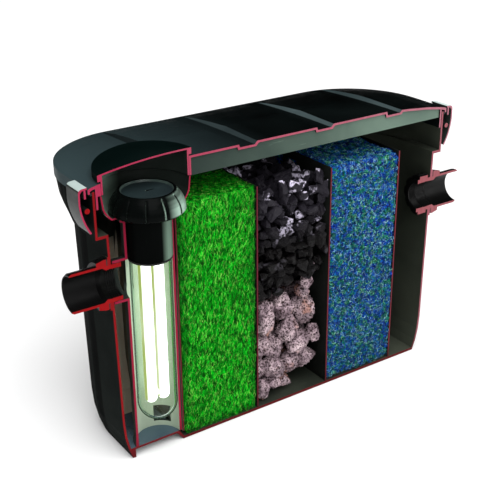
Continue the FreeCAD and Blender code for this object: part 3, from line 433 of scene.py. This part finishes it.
def add_finishes():
    # the housing's black bands are painted shade
    black = moulded("housing_black", (0.006, 0.0078, 0.0072), (0.0105, 0.013, 0.0118), 0.5, 0.003,
                    shade_bands=True)
    # the lid's paler west tone is painted light on its inlet end
    lid_black = moulded("lid_black", (0.0006, 0.001, 0.001), (0.003, 0.005, 0.005), 0.45, 0.04,
                        west=(0.030, 0.049, 0.053))
    cover_black = moulded("cover_black", (0.001, 0.0036, 0.0033), (0.003, 0.0072, 0.0066), 0.45, 0.012)
    fitting = moulded("fitting_black", (0.002, 0.002, 0.002), (0.006, 0.006, 0.006), 0.35, 0.1)
    latch_grey = moulded("latch_grey", (0.012, 0.016, 0.014), (0.03, 0.038, 0.034), 0.4, 0.15)
    # the cap's and the sleeve's sheen tones are painted highlights
    cap_black = moulded("cap_black", (0.0008, 0.001, 0.001), (0.002, 0.0028, 0.0026), 0.24, 0.025,
                        SMOOTH_GRAIN, painted_sheen=srgb(146, 172, 157))
    sleeve_black = moulded("sleeve_black", (0.0008, 0.001, 0.001), (0.002, 0.0026, 0.0024), 0.3, 0.01,
                           SMOOTH_GRAIN, painted_sheen=srgb(98, 119, 105))
    socket = moulded("socket_white", (0.5, 0.5, 0.45), (0.66, 0.66, 0.6), 0.4, 0.5)
    chamber = moulded("chamber_grey", (0.012, 0.016, 0.014), (0.03, 0.038, 0.034), 0.35, 0.1)
    board = moulded("board_black", (0.006, 0.007, 0.006), (0.014, 0.016, 0.014), 0.5, 0.05)
    seal = rubber()
    finishes = {
        "housing_plastic": black, "lid_plastic": lid_black, "cover_plastic": cover_black,
        "latch_plastic": latch_grey, "pin_plastic": black, "chamber_plastic": chamber,
        "cap_plastic": cap_black, "socket_plastic": socket, "partition_plastic": board,
        "fitting_plastic": fitting, "seal_rubber": seal, "quartz_glass": quartz(), "lamp_glass": lamp_light(),
    }
    for row in frame["record"]["subparts"]:
        finish = finishes.get(row["material_slot"])
        if finish is not None:
            mesh = nodes[row["node"]].data
            mesh.materials.clear()
            mesh.materials.append(sleeve_black if row["node"] == "lamp_sleeve" else finish)


def paint_faces(name, finish, wanted):
    """Give the faces of a CAD node that pass the test a finish of their own."""
    mesh = nodes[name].data
    mesh.materials.append(finish)
    extra = len(mesh.materials) - 1
    for face in mesh.polygons:
        if wanted(face, [mesh.vertices[corner].co for corner in face.vertices]):
            face.material_index = extra


def on_section(face, corners):
    return face.normal.y < -0.99 and all(abs(corner.y) < 0.02 * MM for corner in corners)


def paint_sections():
    # in each paint the paler tone at the outlet end is a painted reflection
    crimson = section_paint("housing_section", srgb(124, 2, 10), srgb(142, 82, 92), srgb(80, 2, 10))
    rose = section_paint("lid_section", srgb(160, 40, 72), srgb(158, 104, 116))
    deep = section_paint("fitting_section", srgb(138, 0, 5), srgb(138, 80, 86))
    wine = section_paint("chamber_section", srgb(140, 18, 50), srgb(138, 34, 54), srgb(90, 5, 16))
    board = section_paint("partition_section", srgb(78, 12, 24), srgb(110, 40, 50), srgb(70, 4, 14))
    painted = {
        "housing": crimson, "lid": rose, "lamp_cover": rose, "left_latch": rose, "right_latch": rose,
        "left_latch_pin": deep, "right_latch_pin": deep, "lamp_bowl": wine, "lamp_tube": wine,
        "lamp_partition": board, "mat_partition": board, "stone_partition": board, "outlet_partition": board,
        "inlet_hose_tail": deep, "outlet_hose_tail": deep, "outlet_lock_nut": deep,
    }
    for name, paint in painted.items():
        paint_faces(name, paint, on_section)


def round_middle(face, x):
    """A face's distance from the upright line through (x, 0), and how far its normal turns towards it."""
    away = Vector((face.center.x - x, face.center.y, 0.0))
    return away.length, -away.dot(face.normal)


# where the faces with painted light lie: the rib's depth behind the cut plane, the part of the lid with
# painted groove highlights, how much of a clip has a painted highlight, and how far from the lamp's
# middle line each round inside goes
RIB_DEPTHS = (1 * MM, 6 * MM)
GROOVE_WEST = -0.2
GROOVE_FOOT = 0.312
CLIP_TOP = 6 * MM
INWARD = 0.5 * MM
TUBE_REACH = 26.0 * MM
BOWL_REACH = 50.0 * MM
COVER_REACH = 49.0 * MM
FADE_FROM_LAMP = (-0.046, -0.006)


def paint_lid():
    """The lid's rib, paler with painted light, and painted highlights on the sides of its cross grooves,
    both darker towards the inlet end with painted shade.
    """
    lid_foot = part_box("lid")[0].z
    nearest, deepest = RIB_DEPTHS

    def on_rib(face, corners):
        return face.normal.y < -0.98 and nearest < corners[0].y < deepest and lid_foot < face.center.z

    def on_groove(face, corners):
        leaning = -0.93 < face.normal.x < -0.25 and face.normal.z > 0.3
        return leaning and face.center.x > GROOVE_WEST and face.center.z > GROOVE_FOOT

    painted_light_rib = moulded("rib_painted_light", srgb(70, 86, 78), srgb(98, 117, 105), 0.5, 0.05, west=srgb(34, 43, 40),
                  fade=(-0.16, 0.16))
    paint_faces("lid", painted_light_rib, on_rib)
    painted_groove_highlight = moulded("groove_painted_highlight", srgb(48, 60, 62), srgb(72, 86, 88), 0.5, 0.08, west=srgb(18, 25, 26),
                    fade=(-0.15, 0.05))
    paint_faces("lid", painted_groove_highlight, on_groove)


def paint_clips():
    # a painted highlight on the top of each clip
    painted_highlight = moulded("clip_painted_highlight", srgb(168, 184, 180), srgb(200, 216, 212), 0.35, 0.4)
    for name in ("left_latch", "right_latch"):
        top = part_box(name)[1].z - CLIP_TOP
        paint_faces(name, painted_highlight, lambda face, corners: face.normal.z > 0.55 and face.center.z > top)


def paint_round_insides(lamp_x):
    """The insides of the tube, the bowl and the cover, painted with the lamp's light: pale all over in the
    tube, paler towards the inlet end in the last two.
    """
    def hollow(reach, highest=1.0):
        def wanted(face, corners):
            away, inward = round_middle(face, lamp_x)
            turned_in = inward > INWARD or face.normal.z < -0.5
            return not on_section(face, corners) and away < reach and turned_in and face.normal.z <= highest
        return wanted

    # painted lamp light on the inside of the tube, and near the lamp on the bowl and the cover
    painted_lamp_glow = moulded("tube_inside", srgb(148, 161, 142), srgb(180, 192, 174), 0.35, 0.3)
    paint_faces("lamp_tube", painted_lamp_glow, hollow(TUBE_REACH))
    fade = tuple(lamp_x + step for step in FADE_FROM_LAMP)
    bowl = moulded("bowl_inside", srgb(30, 35, 32), srgb(44, 50, 46), 0.4, 0.1,
                   west=srgb(136, 160, 144), fade=fade)
    paint_faces("lamp_bowl", bowl, hollow(BOWL_REACH))
    cover = moulded("cover_inside", srgb(32, 37, 34), srgb(46, 53, 49), 0.4, 0.1,
                    west=srgb(138, 164, 147), fade=fade)
    paint_faces("lamp_cover", cover, hollow(COVER_REACH, 0.5))


# the housing's inside: the upright line that its walls face, the top of its underside, and the lamp chamber
HOUSING_MIDDLE = 20 * MM
UNDERSIDE = 2 * MM
LAMP_CHAMBER_END = -0.136
LAMP_CHAMBER_TOP = 0.2
LAMP_FLOOR_TOP = 14 * MM
LAMP_FLOOR_BACK = 0.07


def paint_walls():
    """The inside of the housing, paler than its outside with painted light, and the lamp chamber's floor and
    walls in painted light tones of their own.
    """
    painted_floor_light = moulded("floor_painted_light", srgb(54, 70, 80), srgb(84, 104, 116), 0.3, 0.3)
    painted_warm_light = moulded("riser_painted_light", srgb(38, 42, 36), srgb(58, 62, 53), 0.4, 0.2, low=srgb(236, 227, 206))
    painted_inside_light = moulded("inside_painted_light", srgb(38, 42, 36), srgb(58, 62, 53), 0.5, 0.1)

    def facing_in(face, corners):
        reach = Vector((face.center.x, face.center.y - HOUSING_MIDDLE, 0.0))
        return not on_section(face, corners) and (face.normal.z > 0.9 or reach.dot(face.normal) < -0.02)

    def above_underside(face, corners):
        return facing_in(face, corners) and face.center.z > UNDERSIDE

    def beside_lamp(face, corners):
        near_lamp = face.center.x < LAMP_CHAMBER_END and face.center.z < LAMP_CHAMBER_TOP
        return facing_in(face, corners) and near_lamp

    def under_lamp(face, corners):
        on_floor = face.center.z < LAMP_FLOOR_TOP and face.center.y < LAMP_FLOOR_BACK
        return beside_lamp(face, corners) and on_floor

    paint_faces("housing", painted_inside_light, above_underside)
    paint_faces("housing", painted_warm_light, beside_lamp)
    paint_faces("housing", painted_floor_light, under_lamp)
    # painted light on the lamp partition's side that faces the inlet end, paler lower down
    painted_riser_light = moulded("riser_board_painted_light", (0.008, 0.009, 0.008), (0.014, 0.016, 0.014), 0.5, 0.05,
                    low=srgb(108, 103, 90))
    paint_faces("lamp_partition", painted_riser_light, lambda face, corners: face.normal.x < -0.9)


DISH_RADIUS = 0.0245
RIM_RADII = (0.0235, 0.0265)
RIM_DEPTH = 1.9 * MM


def paint_cap(lamp_x):
    """Painted light on the dish in the top of the lamp's cap, and a painted highlight on the slope down to it.
    """
    cap_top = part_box("lamp_cap")[1].z
    innermost, outermost = RIM_RADII

    def in_dish(face, corners):
        return face.normal.z > 0.97 and round_middle(face, lamp_x)[0] < DISH_RADIUS

    def on_rim(face, corners):
        sloping = 0.2 < face.normal.z < 0.9 and face.center.z > cap_top - RIM_DEPTH
        return sloping and innermost < round_middle(face, lamp_x)[0] < outermost

    painted_dish_light = moulded("cap_dish_painted_light", srgb(22, 30, 32), srgb(38, 50, 52), 0.35, 0.15)
    paint_faces("lamp_cap", painted_dish_light, in_dish)
    painted_rim_highlight = moulded("cap_rim_painted_highlight", srgb(44, 54, 52), srgb(74, 90, 84), 0.25, 0.2)
    paint_faces("lamp_cap", painted_rim_highlight, on_rim)


def paint_details():
    low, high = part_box("lamp_sleeve")
    lamp_x = (low.x + high.x) / 2
    paint_lid()
    paint_clips()
    paint_round_insides(lamp_x)
    paint_walls()
    paint_cap(lamp_x)


# ---------------------------------------------------------------- fibre mats

def new_piece(name, mesh, body, slot_name, material, *replaced):
    piece = bpy.data.objects.new(name, mesh)
    scene.collection.objects.link(piece)
    mesh.materials.clear()
    mesh.materials.append(material)
    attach(piece, body)
    if replaced:
        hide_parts(*replaced)


# strands in one piece of fibre, and how many pieces each mat has
GREEN_STRANDS = 9900
BLUE_STRANDS = 6200
FIBRE_PIECES = 3

MAT_CELL = 3.6 * MM
STRAND_SIDES = 3
STRAND_TAPER = (0.16, 0.9)
SIDE_GAP = 0.5 * MM
STRAY_FRONT = 1.6 * MM
STRAY_TOP = 1.5 * MM
# how far the painted shade reaches in from the green mat's ends and up from its foot
EDGE_SHADE = 0.012
FOOT_SHADE = 0.016


def mat_core(name, node, inset, lump):
    """Body of a mat: the CAD block remeshed, drawn in and made uneven."""
    source = bpy.data.objects.new(name + "_source", nodes[node].data.copy())
    scene.collection.objects.link(source)
    remesh = source.modifiers.new("cells", "REMESH")
    remesh.mode = "VOXEL"
    remesh.voxel_size = MAT_CELL
    held = bpy.context.evaluated_depsgraph_get()
    mesh = bpy.data.meshes.new_from_object(source.evaluated_get(held))
    bpy.data.objects.remove(source)
    for vertex in mesh.vertices:
        place = Vector(vertex.co)
        uneven = noise.noise(place * 90.0) * lump + noise.noise(place * 330.0) * lump * 0.7
        vertex.co = place - vertex.normal * (inset - uneven)
    mesh.update()
    return mesh


def surface_points(mesh, count, rng, wanted):
    """Random points on the faces whose normal passes the test, spread by area, with their normals."""
    centres = np.array([face.center for face in mesh.polygons])
    normals = np.array([face.normal for face in mesh.polygons])
    areas = np.array([face.area for face in mesh.polygons])
    shares = np.where(wanted(normals), areas, 0.0)
    picked = rng.choice(len(centres), count, p=shares / shares.sum())
    jitter = rng.uniform(-1, 1, (count, 3)) * np.sqrt(areas[picked])[:, None] * 0.6
    normal = normals[picked]
    jitter -= normal * (jitter * normal).sum(1)[:, None]
    return centres[picked] + jitter, normal


def unit(rows):
    return rows / np.maximum(np.linalg.norm(rows, axis=-1, keepdims=True), 1e-9)


def strands(name, lines, radius, rng):
    """One mesh of many three-sided strands, each closed and drawn thin at its ends."""
    count, steps, _ = lines.shape
    along = unit(np.gradient(lines, axis=1))
    side = unit(np.cross(along, unit(rng.normal(size=(count, 1, 3)))))
    other = np.cross(along, side)
    taper = np.sin(np.linspace(*STRAND_TAPER, steps) * math.pi) ** 0.5
    thick = radius[:, None] * taper[None, :]
    turns = np.arange(STRAND_SIDES) * math.tau / STRAND_SIDES
    ring = (side[:, :, None] * np.cos(turns)[None, None, :, None]
            + other[:, :, None] * np.sin(turns)[None, None, :, None])
    points = (lines[:, :, None] + ring * thick[:, :, None, None]).reshape(-1, 3)
    ring_starts = np.arange(count)[:, None, None] * steps + np.arange(steps - 1)[None, :, None]
    first = ring_starts * STRAND_SIDES
    second = first + STRAND_SIDES
    corner = np.arange(STRAND_SIDES)[None, None, :]
    following = (corner + 1) % STRAND_SIDES
    quads = np.stack([first + corner, first + following, second + following, second + corner], -1)
    start = np.arange(count)[:, None] * steps * STRAND_SIDES
    end = start + (steps - 1) * STRAND_SIDES
    caps = np.concatenate([start + np.array([[2, 1, 0]]), end + np.array([[0, 1, 2]])])
    mesh = bpy.data.meshes.new(name)
    mesh.from_pydata(points.tolist(), [], quads.reshape(-1, 4).tolist() + caps.tolist())
    mesh.update()
    return mesh


def keep_in_place(lines, node):
    """Hold strands to the space of their block, and a little over its front and top."""
    low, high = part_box(node)
    lowest = (low.x + SIDE_GAP, -STRAY_FRONT, low.z + SIDE_GAP)
    highest = (high.x - SIDE_GAP, high.y, high.z + STRAY_TOP)
    return np.minimum(np.maximum(lines, np.array(lowest)), np.array(highest))


def facing_out(normals):
    """The front and the top, which are the sides of a mat that show."""
    return (normals[:, 1] < -0.35) | (normals[:, 2] > 0.35)


def fibre_green(name, seen):
    graph = Graph(name)
    pick = graph.island() if seen else graph.noise(1100.0, 3.0, graph.stretched(1.0, 1.0, 0.25))
    broad = graph.noise(24.0, 3.0)
    tint = graph.ramp(pick, [
        (0.0, srgb(0, 52, 2)),
        (0.22, srgb(0, 124, 10)),
        (0.5, srgb(4, 208, 28)),
        (0.8, srgb(36, 250, 54)),
        (0.96, srgb(176, 250, 110)),
    ])
    tint = graph.mix(graph.spread(broad, 0.4, 0.7, 0.0, 0.3), tint, srgb(0, 126, 8))
    # painted shade in the gaps between strands
    painted_gap_shade = graph.noise(330.0, 3.0, graph.stretched(1.0, 1.0, 0.35), rough=0.7)
    tint = graph.mix(graph.spread(painted_gap_shade, 0.42, 0.54, 0.88, 0.0), tint, srgb(0, 46, 2))
    # painted shade at the mat's two ends and at its foot
    low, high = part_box("green_mat")
    west = graph.spread(graph.axis("X"), low.x, low.x + EDGE_SHADE, 1.0, 0.0)
    east = graph.spread(graph.axis("X"), high.x - EDGE_SHADE, high.x, 0.0, 1.0)
    foot = graph.spread(graph.axis("Z"), low.z, low.z + FOOT_SHADE, 1.0, 0.0)
    edge = graph.math("MAXIMUM", graph.math("MAXIMUM", west, east), foot)
    graph.colour(graph.mix(graph.math("MULTIPLY", edge, 0.6), tint, srgb(0, 50, 6)))
    graph.set("Roughness", 0.6)
    graph.set("Specular IOR Level", 0.08)
    graph.bump(graph.noise(1400.0, 2.0), 0.0002)
    return graph.material


def fibre_blue(name, seen):
    graph = Graph(name)
    pick = graph.island() if seen else graph.noise(700.0, 3.0, warp=1.0)
    broad = graph.noise(150.0, 2.0, warp=0.4)
    blues = graph.ramp(pick, [
        (0.0, srgb(2, 8, 44)),
        (0.25, srgb(6, 26, 110)),
        (0.48, srgb(6, 66, 214)),
        (0.74, srgb(20, 138, 222)),
        (0.93, srgb(176, 236, 248)),
    ])
    greens = graph.ramp(pick, [
        (0.0, srgb(0, 16, 28)),
        (0.28, srgb(0, 70, 92)),
        (0.56, srgb(6, 144, 130)),
        (0.82, srgb(56, 190, 92)),
        (0.95, srgb(166, 240, 196)),
    ])
    tint = graph.mix(graph.spread(broad, 0.46, 0.58), blues, greens)
    # painted shade in the gaps between strands
    painted_gap_shade = graph.noise(380.0, 3.0, warp=1.0, rough=0.7)
    tint = graph.mix(graph.spread(painted_gap_shade, 0.42, 0.54, 0.88, 0.0), tint, srgb(0, 12, 42))
    deep = graph.spread(graph.axis("Z"), 0.02, 0.2, 0.3, 0.0)
    tint = graph.mix(deep, tint, srgb(4, 58, 70))
    graph.colour(tint)
    graph.set("Roughness", 0.5)
    graph.set("Specular IOR Level", 0.15)
    graph.bump(graph.noise(1400.0, 2.0), 0.0002)
    return graph.material


def green_strands(name, core, rng):
    """Brushed fibre: short straight strands, nearly upright, leaning off the block."""
    root, normal = surface_points(core, GREEN_STRANDS, rng, facing_out)
    lean = rng.normal(0.0, 0.22, (GREEN_STRANDS, 1))
    level = np.array([[1.0, 0.0, 0.0]])
    on_top = np.abs(normal[:, 2:]) > 0.7
    upright = np.where(on_top, np.array([[0.2, -1.0, 0.0]]), np.array([[0.0, 0.0, 1.0]]))
    heading = unit(upright * np.cos(lean * 1.6) + level * np.sin(lean * 1.6))
    length = rng.uniform(4.5, 10.0, (GREEN_STRANDS, 1)) * MM
    rise = rng.uniform(0.2, 2.6, (GREEN_STRANDS, 1)) * MM
    t = np.linspace(-0.5, 0.5, 4)[None, :, None]
    bend = rng.normal(0.0, 0.9, (GREEN_STRANDS, 1, 3)) * MM
    lines = root[:, None] + heading[:, None] * length[:, None] * t
    lines = lines + normal[:, None] * (rise[:, None] * (t + 0.5) + 0.3 * MM) + bend * (1 - 4 * t * t)
    lines = keep_in_place(lines, "green_mat")
    return strands(name, lines, rng.uniform(0.12, 0.25, GREEN_STRANDS) * MM, rng)


def blue_strands(name, core, rng):
    """Coarse curled fibre, tangled every way."""
    root, normal = surface_points(core, BLUE_STRANDS, rng, facing_out)
    spin = unit(np.cross(normal, unit(rng.normal(size=(BLUE_STRANDS, 3)))))
    across = np.cross(normal, spin)
    curl = rng.uniform(1.6, 3.8, (BLUE_STRANDS, 1, 1)) * MM
    sweep = rng.uniform(1.6, 3.4, (BLUE_STRANDS, 1, 1))
    t = np.linspace(-0.5, 0.5, 6)[None, :, None]
    sideways = spin[:, None] * curl * np.sin(sweep * t)
    lines = root[:, None] + sideways + across[:, None] * curl * np.cos(sweep * t)
    wave = rng.uniform(-0.3, 2.3, (BLUE_STRANDS, 1, 1)) * MM
    lines = lines - across[:, None] * curl * 0.8 + normal[:, None] * (wave * np.cos(3.0 * t) + 0.6 * MM)
    lines = keep_in_place(lines, "blue_mat")
    return strands(name, lines, rng.uniform(0.14, 0.27, BLUE_STRANDS) * MM, rng)


def add_fibre(node, slot_name, core, look, lay, rng):
    for number in range(FIBRE_PIECES):
        mesh = lay(f"{node}_fibre_{number + 1}", core, rng)
        new_piece(mesh.name, mesh, "casing", slot_name, look)


def add_green_mat():
    core = mat_core("green_mat_body", "green_mat", 1.6 * MM, 1.1 * MM)
    new_piece("green_mat_body", core, "casing", "green_fibre", fibre_green("green_body", False), "green_mat")
    look = fibre_green("green_strands", True)
    add_fibre("green_mat", "green_fibre", core, look, green_strands, np.random.default_rng(4))


def add_blue_mat():
    core = mat_core("blue_mat_body", "blue_mat", 2.2 * MM, 1.6 * MM)
    new_piece("blue_mat_body", core, "casing", "blue_fibre", fibre_blue("blue_body", False), "blue_mat")
    look = fibre_blue("blue_strands", True)
    add_fibre("blue_mat", "blue_fibre", core, look, blue_strands, np.random.default_rng(9))


# ---------------------------------------------------------------- stones and carbon

def pumice():
    graph = Graph("pumice")
    broad = graph.noise(46.0, 5.0, warp=0.5, rough=0.6)
    tone = graph.ramp(broad, [
        (0.3, srgb(80, 64, 70)),
        (0.44, srgb(146, 126, 134)),
        (0.58, srgb(186, 164, 170)),
        (0.8, srgb(222, 202, 204)),
    ])
    rust = graph.spread(graph.noise(30.0, 4.0, graph.stretched(1.0, 1.4, 0.8)), 0.53, 0.65, 0.0, 0.75)
    tone = graph.mix(rust, tone, srgb(152, 104, 84))
    # round pores and coarse pits: a bump into the stone, and a painted shade that darkens them
    pores = graph.cells(520.0)
    coarse = graph.cells(210.0)
    pit = graph.math("MINIMUM", graph.spread(pores, 0.16, 0.5), graph.spread(coarse, 0.14, 0.4))
    graph.colour(graph.mix(pit, srgb(40, 26, 26), tone))
    graph.set("Roughness", 0.9)
    graph.set("Specular IOR Level", 0.1)
    graph.bump(pit, 0.0016, 0.9)
    return graph.material


# the heights over which the carbon's painted light grows
COAL_LIT = (0.19, 0.235)


def coal():
    """Dull black carbon, with painted light that makes it paler higher up and painted lilac glints on
    the lumps near the top.
    """
    graph = Graph("carbon")
    broad = graph.noise(60.0, 4.0)
    grain = graph.noise(300.0, 4.0, rough=0.7)
    dark = graph.ramp(broad, [(0.3, srgb(4, 3, 3)), (0.6, srgb(10, 8, 8)), (0.85, srgb(19, 15, 17))])
    # painted light: paler towards the top, with painted glints in a few patches there
    high = graph.spread(graph.axis("Z"), *COAL_LIT, 0.04, 1.0)
    dark = graph.mix(graph.math("MULTIPLY", high, 0.55), dark, srgb(46, 43, 52))
    patch = graph.spread(graph.noise(40.0, 2.0, warp=0.5), 0.56, 0.6)
    flake = graph.spread(grain, 0.42, 0.52)
    painted_glint = graph.math("MULTIPLY", graph.math("MULTIPLY", patch, high), flake)
    graph.colour(graph.mix(painted_glint, dark, srgb(216, 208, 230)))
    graph.set("Roughness", graph.spread(graph.noise(210.0, 3.0), 0.35, 0.65, 0.3, 0.7))
    graph.set("Specular IOR Level", 0.12)
    crumbs = graph.noise(620.0, 4.0, rough=0.65)
    graph.bump(crumbs, 0.0011, 0.9)
    return graph.material


def place_form(vertex, size, centre):
    """Scale a vertex of a form of about unit size, and move it to where the form goes."""
    vertex.co = Vector([c * s for c, s in zip(vertex.co, size)]) + Vector(centre)


ROCK_FLATS = 12
FLAT_REACH = (0.66, 0.88)
PORE_WIDTH = 0.36
PORE_DEPTH = 0.16


def rock(centre, size, seed, detail):
    """Porous stone: a sphere swollen by slow noise, cut by flats, roughened and pitted by round pores."""
    form = bmesh.new()
    bmesh.ops.create_icosphere(form, subdivisions=detail, radius=1.0)
    shift = Vector((seed * 7.31, seed * 3.77, seed * 1.93))
    turn = Matrix.Rotation(seed * 2.4, 3, Vector((0.3, 1.0, 0.4 + seed % 3)))
    rng = np.random.default_rng(500 + seed)
    flats = [(Vector(way), rng.uniform(*FLAT_REACH)) for way in unit(rng.normal(size=(ROCK_FLATS, 3)))]
    for vertex in form.verts:
        way = vertex.co.normalized()
        swell = 1.08 + 0.3 * noise.noise(way * 1.25 + shift) + 0.2 * noise.noise(way * 2.9 + shift)
        rough = 0.15 * noise.noise(way * 6.0 + shift) + 0.08 * noise.noise(way * 13.0 + shift)
        pore = noise.voronoi(way * 4.2 + shift)[0][0]
        pit = PORE_DEPTH * max(0.0, PORE_WIDTH - pore) / PORE_WIDTH
        for flat, reach in flats:
            swell = min(swell, reach / max(way.dot(flat), 0.01))
        vertex.co = turn @ (way * (swell + rough - pit))
        place_form(vertex, size, centre)
    return form


LUMP_CORNERS = 15


def lump(centre, size, seed):
    """Broken carbon: the hull of a few points, its edges dulled and its faces crumbled."""
    rng = np.random.default_rng(1000 + seed)
    form = bmesh.new()
    for way in unit(rng.normal(size=(LUMP_CORNERS, 3))):
        form.verts.new(way * rng.uniform(0.75, 1.1))
    bmesh.ops.convex_hull(form, input=form.verts)
    bmesh.ops.delete(form, geom=[vertex for vertex in form.verts if not vertex.link_faces], context="VERTS")
    bmesh.ops.subdivide_edges(form, edges=form.edges, cuts=3, use_grid_fill=True)
    bmesh.ops.triangulate(form, faces=form.faces)
    shift = Vector((seed * 1.7, seed * 5.1, seed * 2.3))
    for vertex in form.verts:
        crumble = noise.noise(vertex.co * 2.4 + shift) * 0.26 + noise.noise(vertex.co * 6.5 + shift) * 0.16
        vertex.co = vertex.co * (1.0 + crumble)
        place_form(vertex, size, centre)
    return form


def join_forms(name, forms, smooth):
    """One mesh from several bmesh forms."""
    whole = bmesh.new()
    for form in forms:
        part = bpy.data.meshes.new("part")
        form.to_mesh(part)
        form.free()
        whole.from_mesh(part)
        bpy.data.meshes.remove(part)
    bmesh.ops.recalc_face_normals(whole, faces=whole.faces)
    for face in whole.faces:
        face.smooth = smooth
    mesh = bpy.data.meshes.new(name)
    whole.to_mesh(mesh)
    whole.free()
    return mesh


# front stones, in mm: their places along the box and up from its underside, and their half sizes along, up
# and back
FRONT_STONES = (
    (-20, 108, 19, 23, 17), (8, 112, 14, 17, 16), (39, 98, 19, 23, 17), (14, 84, 16, 15, 15),
    (-27, 72, 13, 15, 14), (-4, 66, 18, 16, 16), (30, 62, 20, 17, 16), (51, 68, 9, 12, 12),
    (-28, 42, 12, 14, 13), (-6, 38, 15, 15, 14), (17, 38, 15, 14, 14), (40, 36, 16, 15, 14),
    (-27, 17, 10, 14, 12), (-8, 19, 11, 10, 11), (8, 15, 12, 11, 12), (37, 140, 10, 11, 9),
    (43, 155, 7, 8, 8), (33, 126, 9, 9, 9),
)


# stones behind them, in mm: how many back, across and up, where the first is, and the step to the next
BACK_COUNTS = (3, 4, 5)
BACK_START = (46, 12, 15)
BACK_STEP = (29, 23.5, 24)
BACK_HALF = (11.5, 15.5)

FRONT_GAP = 0.4 * MM
REAR_GAP = 5 * MM
STONE_RISE = 45 * MM


def fit_between(mesh, low, high):
    """Press the outermost points of a heap against the chamber's walls."""
    for vertex in mesh.vertices:
        vertex.co = Vector([min(max(c, a), b) for c, a, b in zip(vertex.co, low, high)])


def front_stones():
    forms = []
    for number, (x, z, half_x, half_z, half_y) in enumerate(FRONT_STONES):
        depth = half_y * 0.92 + 2.0 + 3.0 * (number % 3)
        size = (half_x * 0.95 * MM, half_y * MM, half_z * 0.95 * MM)
        forms.append(rock((x * MM, depth * MM, z * MM), size, number + 1, 4))
    return forms


def back_stones(low_x, laid):
    """Stones in rows behind the front ones; laid is how many stones there are already."""
    rng = np.random.default_rng(21)
    rows, columns, levels = BACK_COUNTS
    start_y, start_x, start_z = BACK_START
    step_y, step_x, step_z = BACK_STEP
    forms = []
    for row, column, level in itertools.product(range(rows), range(columns), range(levels)):
        half = rng.uniform(*BACK_HALF)
        x = low_x / MM + start_x + column * step_x + rng.uniform(-3, 3)
        z = start_z + level * step_z + rng.uniform(-3, 3)
        y = start_y + row * step_y + rng.uniform(-4, 4)
        if row == 0 and level == 0 and column == columns - 1:
            continue
        half_z = half * rng.uniform(0.8, 1.1)
        seed = 40 + laid + len(forms)
        forms.append(rock((x * MM, y * MM, z * MM), (half * MM, half * MM, half_z * MM), seed, 3))
    return forms


def add_stones():
    low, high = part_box("stone_bed")
    forms = front_stones()
    forms += back_stones(low.x, len(forms))
    mesh = join_forms("pumice_stones", forms, True)
    fit_between(mesh, (low.x, FRONT_GAP, low.z), (high.x, high.y - REAR_GAP, high.z + STONE_RISE))
    new_piece("pumice_stones", mesh, "casing", "pumice", pumice(), "stone_bed")


# carbon, front to back: how many lumps across and up, and their least and greatest half size, in mm
DEEP_CARBON = (5, 7, 10.0, 14.5)
CARBON_LAYERS = ((7, 11, 6.5, 11.5), (6, 9, 8.5, 13.0), DEEP_CARBON, DEEP_CARBON, DEEP_CARBON)

# in mm: where the heap starts, what is left free over it, its first row and the step back, and the stray
CARBON_FOOT = 134
CARBON_HEADROOM = 6
CARBON_FRONT = 9
CARBON_STEP = 22
CARBON_STRAY = 4

# in mm: no carbon lies lower than this, further along and nearer the front: three stones stand there
STONES_HIGH = 148
STONES_WEST = 8
STONES_DEEP = 30
CARBON_SINK = 12 * MM
CARBON_RISE = 1 * MM


def add_carbon():
    low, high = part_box("carbon_bed")
    rng = np.random.default_rng(33)
    wide = (high.x - low.x) / MM
    tall = high.z / MM - (CARBON_FOOT + CARBON_HEADROOM)
    forms = []
    for row, (columns, levels, small, large) in enumerate(CARBON_LAYERS):
        for column, level in itertools.product(range(columns), range(levels)):
            half = rng.uniform(small, large)
            x = low.x / MM + wide * (column + 0.5) / columns + rng.uniform(-CARBON_STRAY, CARBON_STRAY)
            z = CARBON_FOOT + tall * (level + 0.4) / levels + rng.uniform(-CARBON_STRAY, CARBON_STRAY)
            y = CARBON_FRONT + row * CARBON_STEP + rng.uniform(-CARBON_STRAY, CARBON_STRAY)
            if z < STONES_HIGH and x > STONES_WEST and y < STONES_DEEP:
                continue
            size = half * rng.uniform(0.75, 1.2, 3)
            z = min(z, high.z / MM - size[2] * 0.9)
            forms.append(lump((x * MM, y * MM, z * MM), tuple(size * MM), len(forms)))
    mesh = join_forms("carbon_lumps", forms, False)
    lowest = (low.x, FRONT_GAP, low.z - CARBON_SINK)
    fit_between(mesh, lowest, (high.x, high.y - REAR_GAP, high.z + CARBON_RISE))
    new_piece("carbon_lumps", mesh, "casing", "carbon", coal(), "carbon_bed")


add_camera()
add_sky()
add_floor()
add_lights()
add_finishes()
paint_sections()
paint_details()
add_green_mat()
add_blue_mat()
add_stones()
add_carbon()
